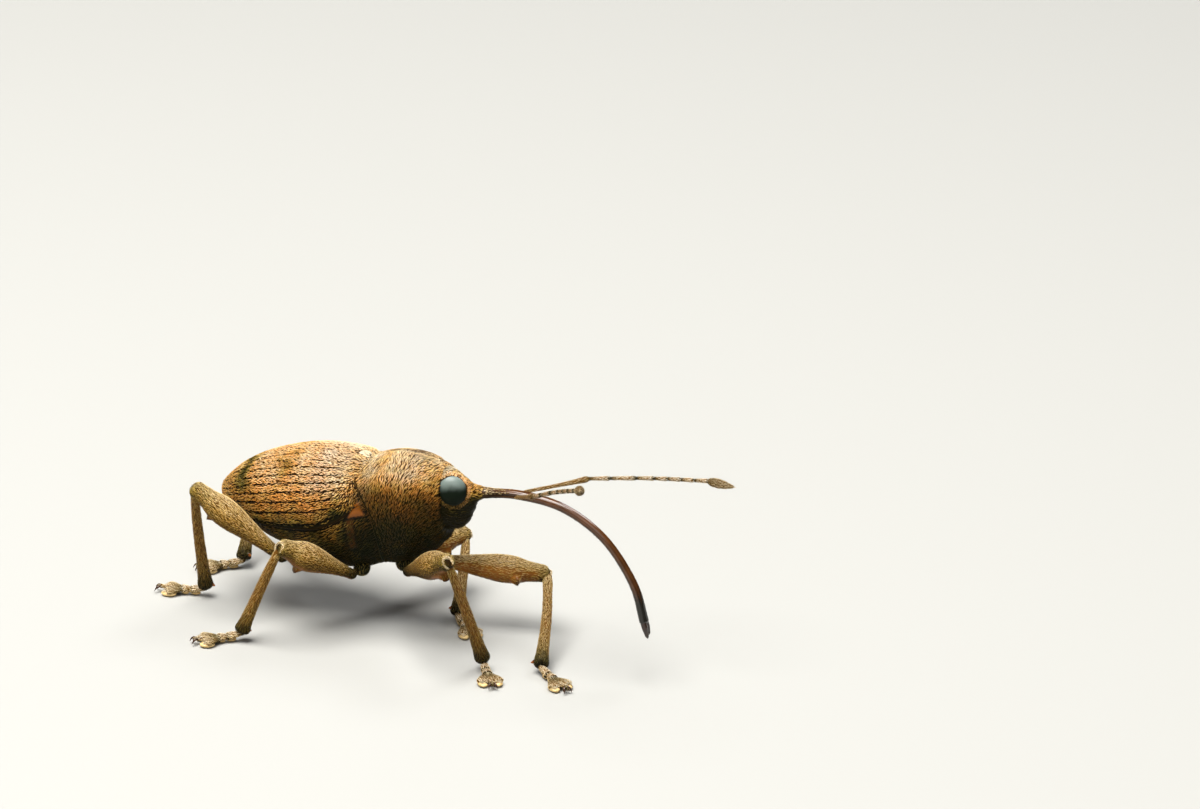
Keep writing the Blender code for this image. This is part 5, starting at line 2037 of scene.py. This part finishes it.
@dataclass
class Studio:
    """The floor, the lamps and the camera at the photo's own angle."""

    azimuth: float = 23.7
    elevation: float = 19.3
    roll: float = 4.4
    aim: tuple[float, float] = (7.05, 3.075)
    distance: float = 180.0
    lens: float = 180.0
    floor_radius: float = 0.6
    floor_colour: Colour = (0.38, 0.38, 0.365)
    world: float = 0.055
    lamps: tuple[Lamp, ...] = (
        Lamp("key", -40.0, 74.0, 0.20, 0.16, 1.05, (1.0, 0.98, 0.94)),
        Lamp("front", 20.0, 38.0, 0.24, 0.12, 0.07, (1.0, 0.98, 0.95)),
        Lamp("back", 165.0, 50.0, 0.24, 0.10, 0.20),
    )

    def _camera(self) -> None:
        """Make the camera."""
        az, el, roll = (math.radians(a) for a in (self.azimuth, self.elevation, self.roll))
        back = np.array((math.sin(az) * math.cos(el), -math.cos(az) * math.cos(el), math.sin(el)))
        level = np.array((math.cos(az), math.sin(az), 0.0))
        upright = np.cross(back, level)
        right = math.cos(roll) * level - math.sin(roll) * upright
        up = math.sin(roll) * level + math.cos(roll) * upright
        target = right * self.aim[0] + up * self.aim[1]
        place = to_floor(target + back * self.distance) * MM
        axes = TURN @ np.stack([right, up, back], axis=1)
        data = bpy.data.cameras.new("camera")
        data.lens, data.sensor_width, data.clip_start = self.lens, 36.0, 0.01
        camera = bpy.data.objects.new("camera", data)
        camera.matrix_world = Matrix.Translation(Vector(place)) @ Matrix(axes.tolist()).to_4x4()
        bpy.context.scene.collection.objects.link(camera)
        bpy.context.scene.camera = camera

    def _floor(self) -> None:
        """Make the plain floor."""
        turns = np.linspace(0, 2 * np.pi, 96, endpoint=False)
        rim = [(self.floor_radius * math.cos(t), self.floor_radius * math.sin(t), 0.0) for t in turns]
        mesh = bpy.data.meshes.new("floor")
        mesh.from_pydata(rim, [], [tuple(range(96))])
        board = Board("floor")
        mesh.materials.append(board.surface({"Base Color": (*self.floor_colour, 1.0), "Roughness": 0.75}))
        floor = bpy.data.objects.new("floor", mesh)
        bpy.context.scene.collection.objects.link(floor)

    def _lamp(self, lamp: Lamp) -> None:
        """Hang one lamp, facing the animal."""
        az, el = math.radians(lamp.azimuth), math.radians(lamp.elevation)
        way = Vector((math.sin(az) * math.cos(el), -math.cos(az) * math.cos(el), math.sin(el)))
        data = bpy.data.lights.new(lamp.name, "AREA")
        data.shape, data.size, data.energy, data.color = "DISK", lamp.width, lamp.watts, lamp.colour
        hung = bpy.data.objects.new(lamp.name, data)
        target = Vector((0.0, 0.0, 0.003))
        turned = way.to_track_quat("Z", "Y").to_matrix().to_4x4()
        hung.matrix_world = Matrix.Translation(target + way * lamp.distance) @ turned
        bpy.context.scene.collection.objects.link(hung)

    def build(self) -> None:
        """Set up the studio."""
        self._camera()
        self._floor()
        for lamp in self.lamps:
            self._lamp(lamp)
        world = bpy.data.worlds.new("world")
        world.use_nodes = True
        world.node_tree.nodes["Background"].inputs["Color"].default_value = (0.93, 0.95, 1.0, 1.0)
        world.node_tree.nodes["Background"].inputs["Strength"].default_value = self.world
        bpy.context.scene.world = world
        bpy.context.scene.view_settings.view_transform = "Standard"
        log.info("studio: %d lamps", len(self.lamps))


FEELERS = (
    FeelerLine(Side.LEFT, (6.80, 1.40, 0.88), (10.00, 2.80, 0.52), (10.71, 3.07, 0.28)),
    FeelerLine(Side.RIGHT, (6.37, -1.78, 1.45), (8.81, -3.93, 2.61), (9.14, -4.67, 2.89)),
)
STANCES = (
    Stance(Pair.FRONT, Side.RIGHT, (3.93, -2.88, -0.36), (4.79, -1.70), (5.63, -2.92)),
    Stance(Pair.MIDDLE, Side.RIGHT, (-1.39, -3.00, -0.26), (-2.32, -3.46), (-3.47, -4.42)),
    Stance(Pair.HIND, Side.RIGHT, (-4.55, -2.10, 1.06), (-4.65, -1.06), (-6.04, -1.50)),
    Stance(Pair.FRONT, Side.LEFT, (4.89, 1.95, -2.51), (6.44, -1.20), (7.65, -2.05), bow=0.09),
    Stance(Pair.MIDDLE, Side.LEFT, (1.60, 3.50, -2.04), (2.78, 1.00), (3.70, 0.08)),
    Stance(Pair.HIND, Side.LEFT, (-4.98, 3.30, -0.12), (-4.55, 1.38), (-5.66, 0.47)),
)


def main() -> None:
    """Build the whole animal and its studio."""
    logging.basicConfig(level=logging.INFO, format="%(name)s %(message)s")
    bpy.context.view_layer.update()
    Studio().build()
    ForeBody().build()
    HindBody().build()
    Head().build()
    for line in FEELERS:
        Feeler(line).build()
    for stance in STANCES:
        Leg(stance).build()


if __name__ == "__main__":
    main()
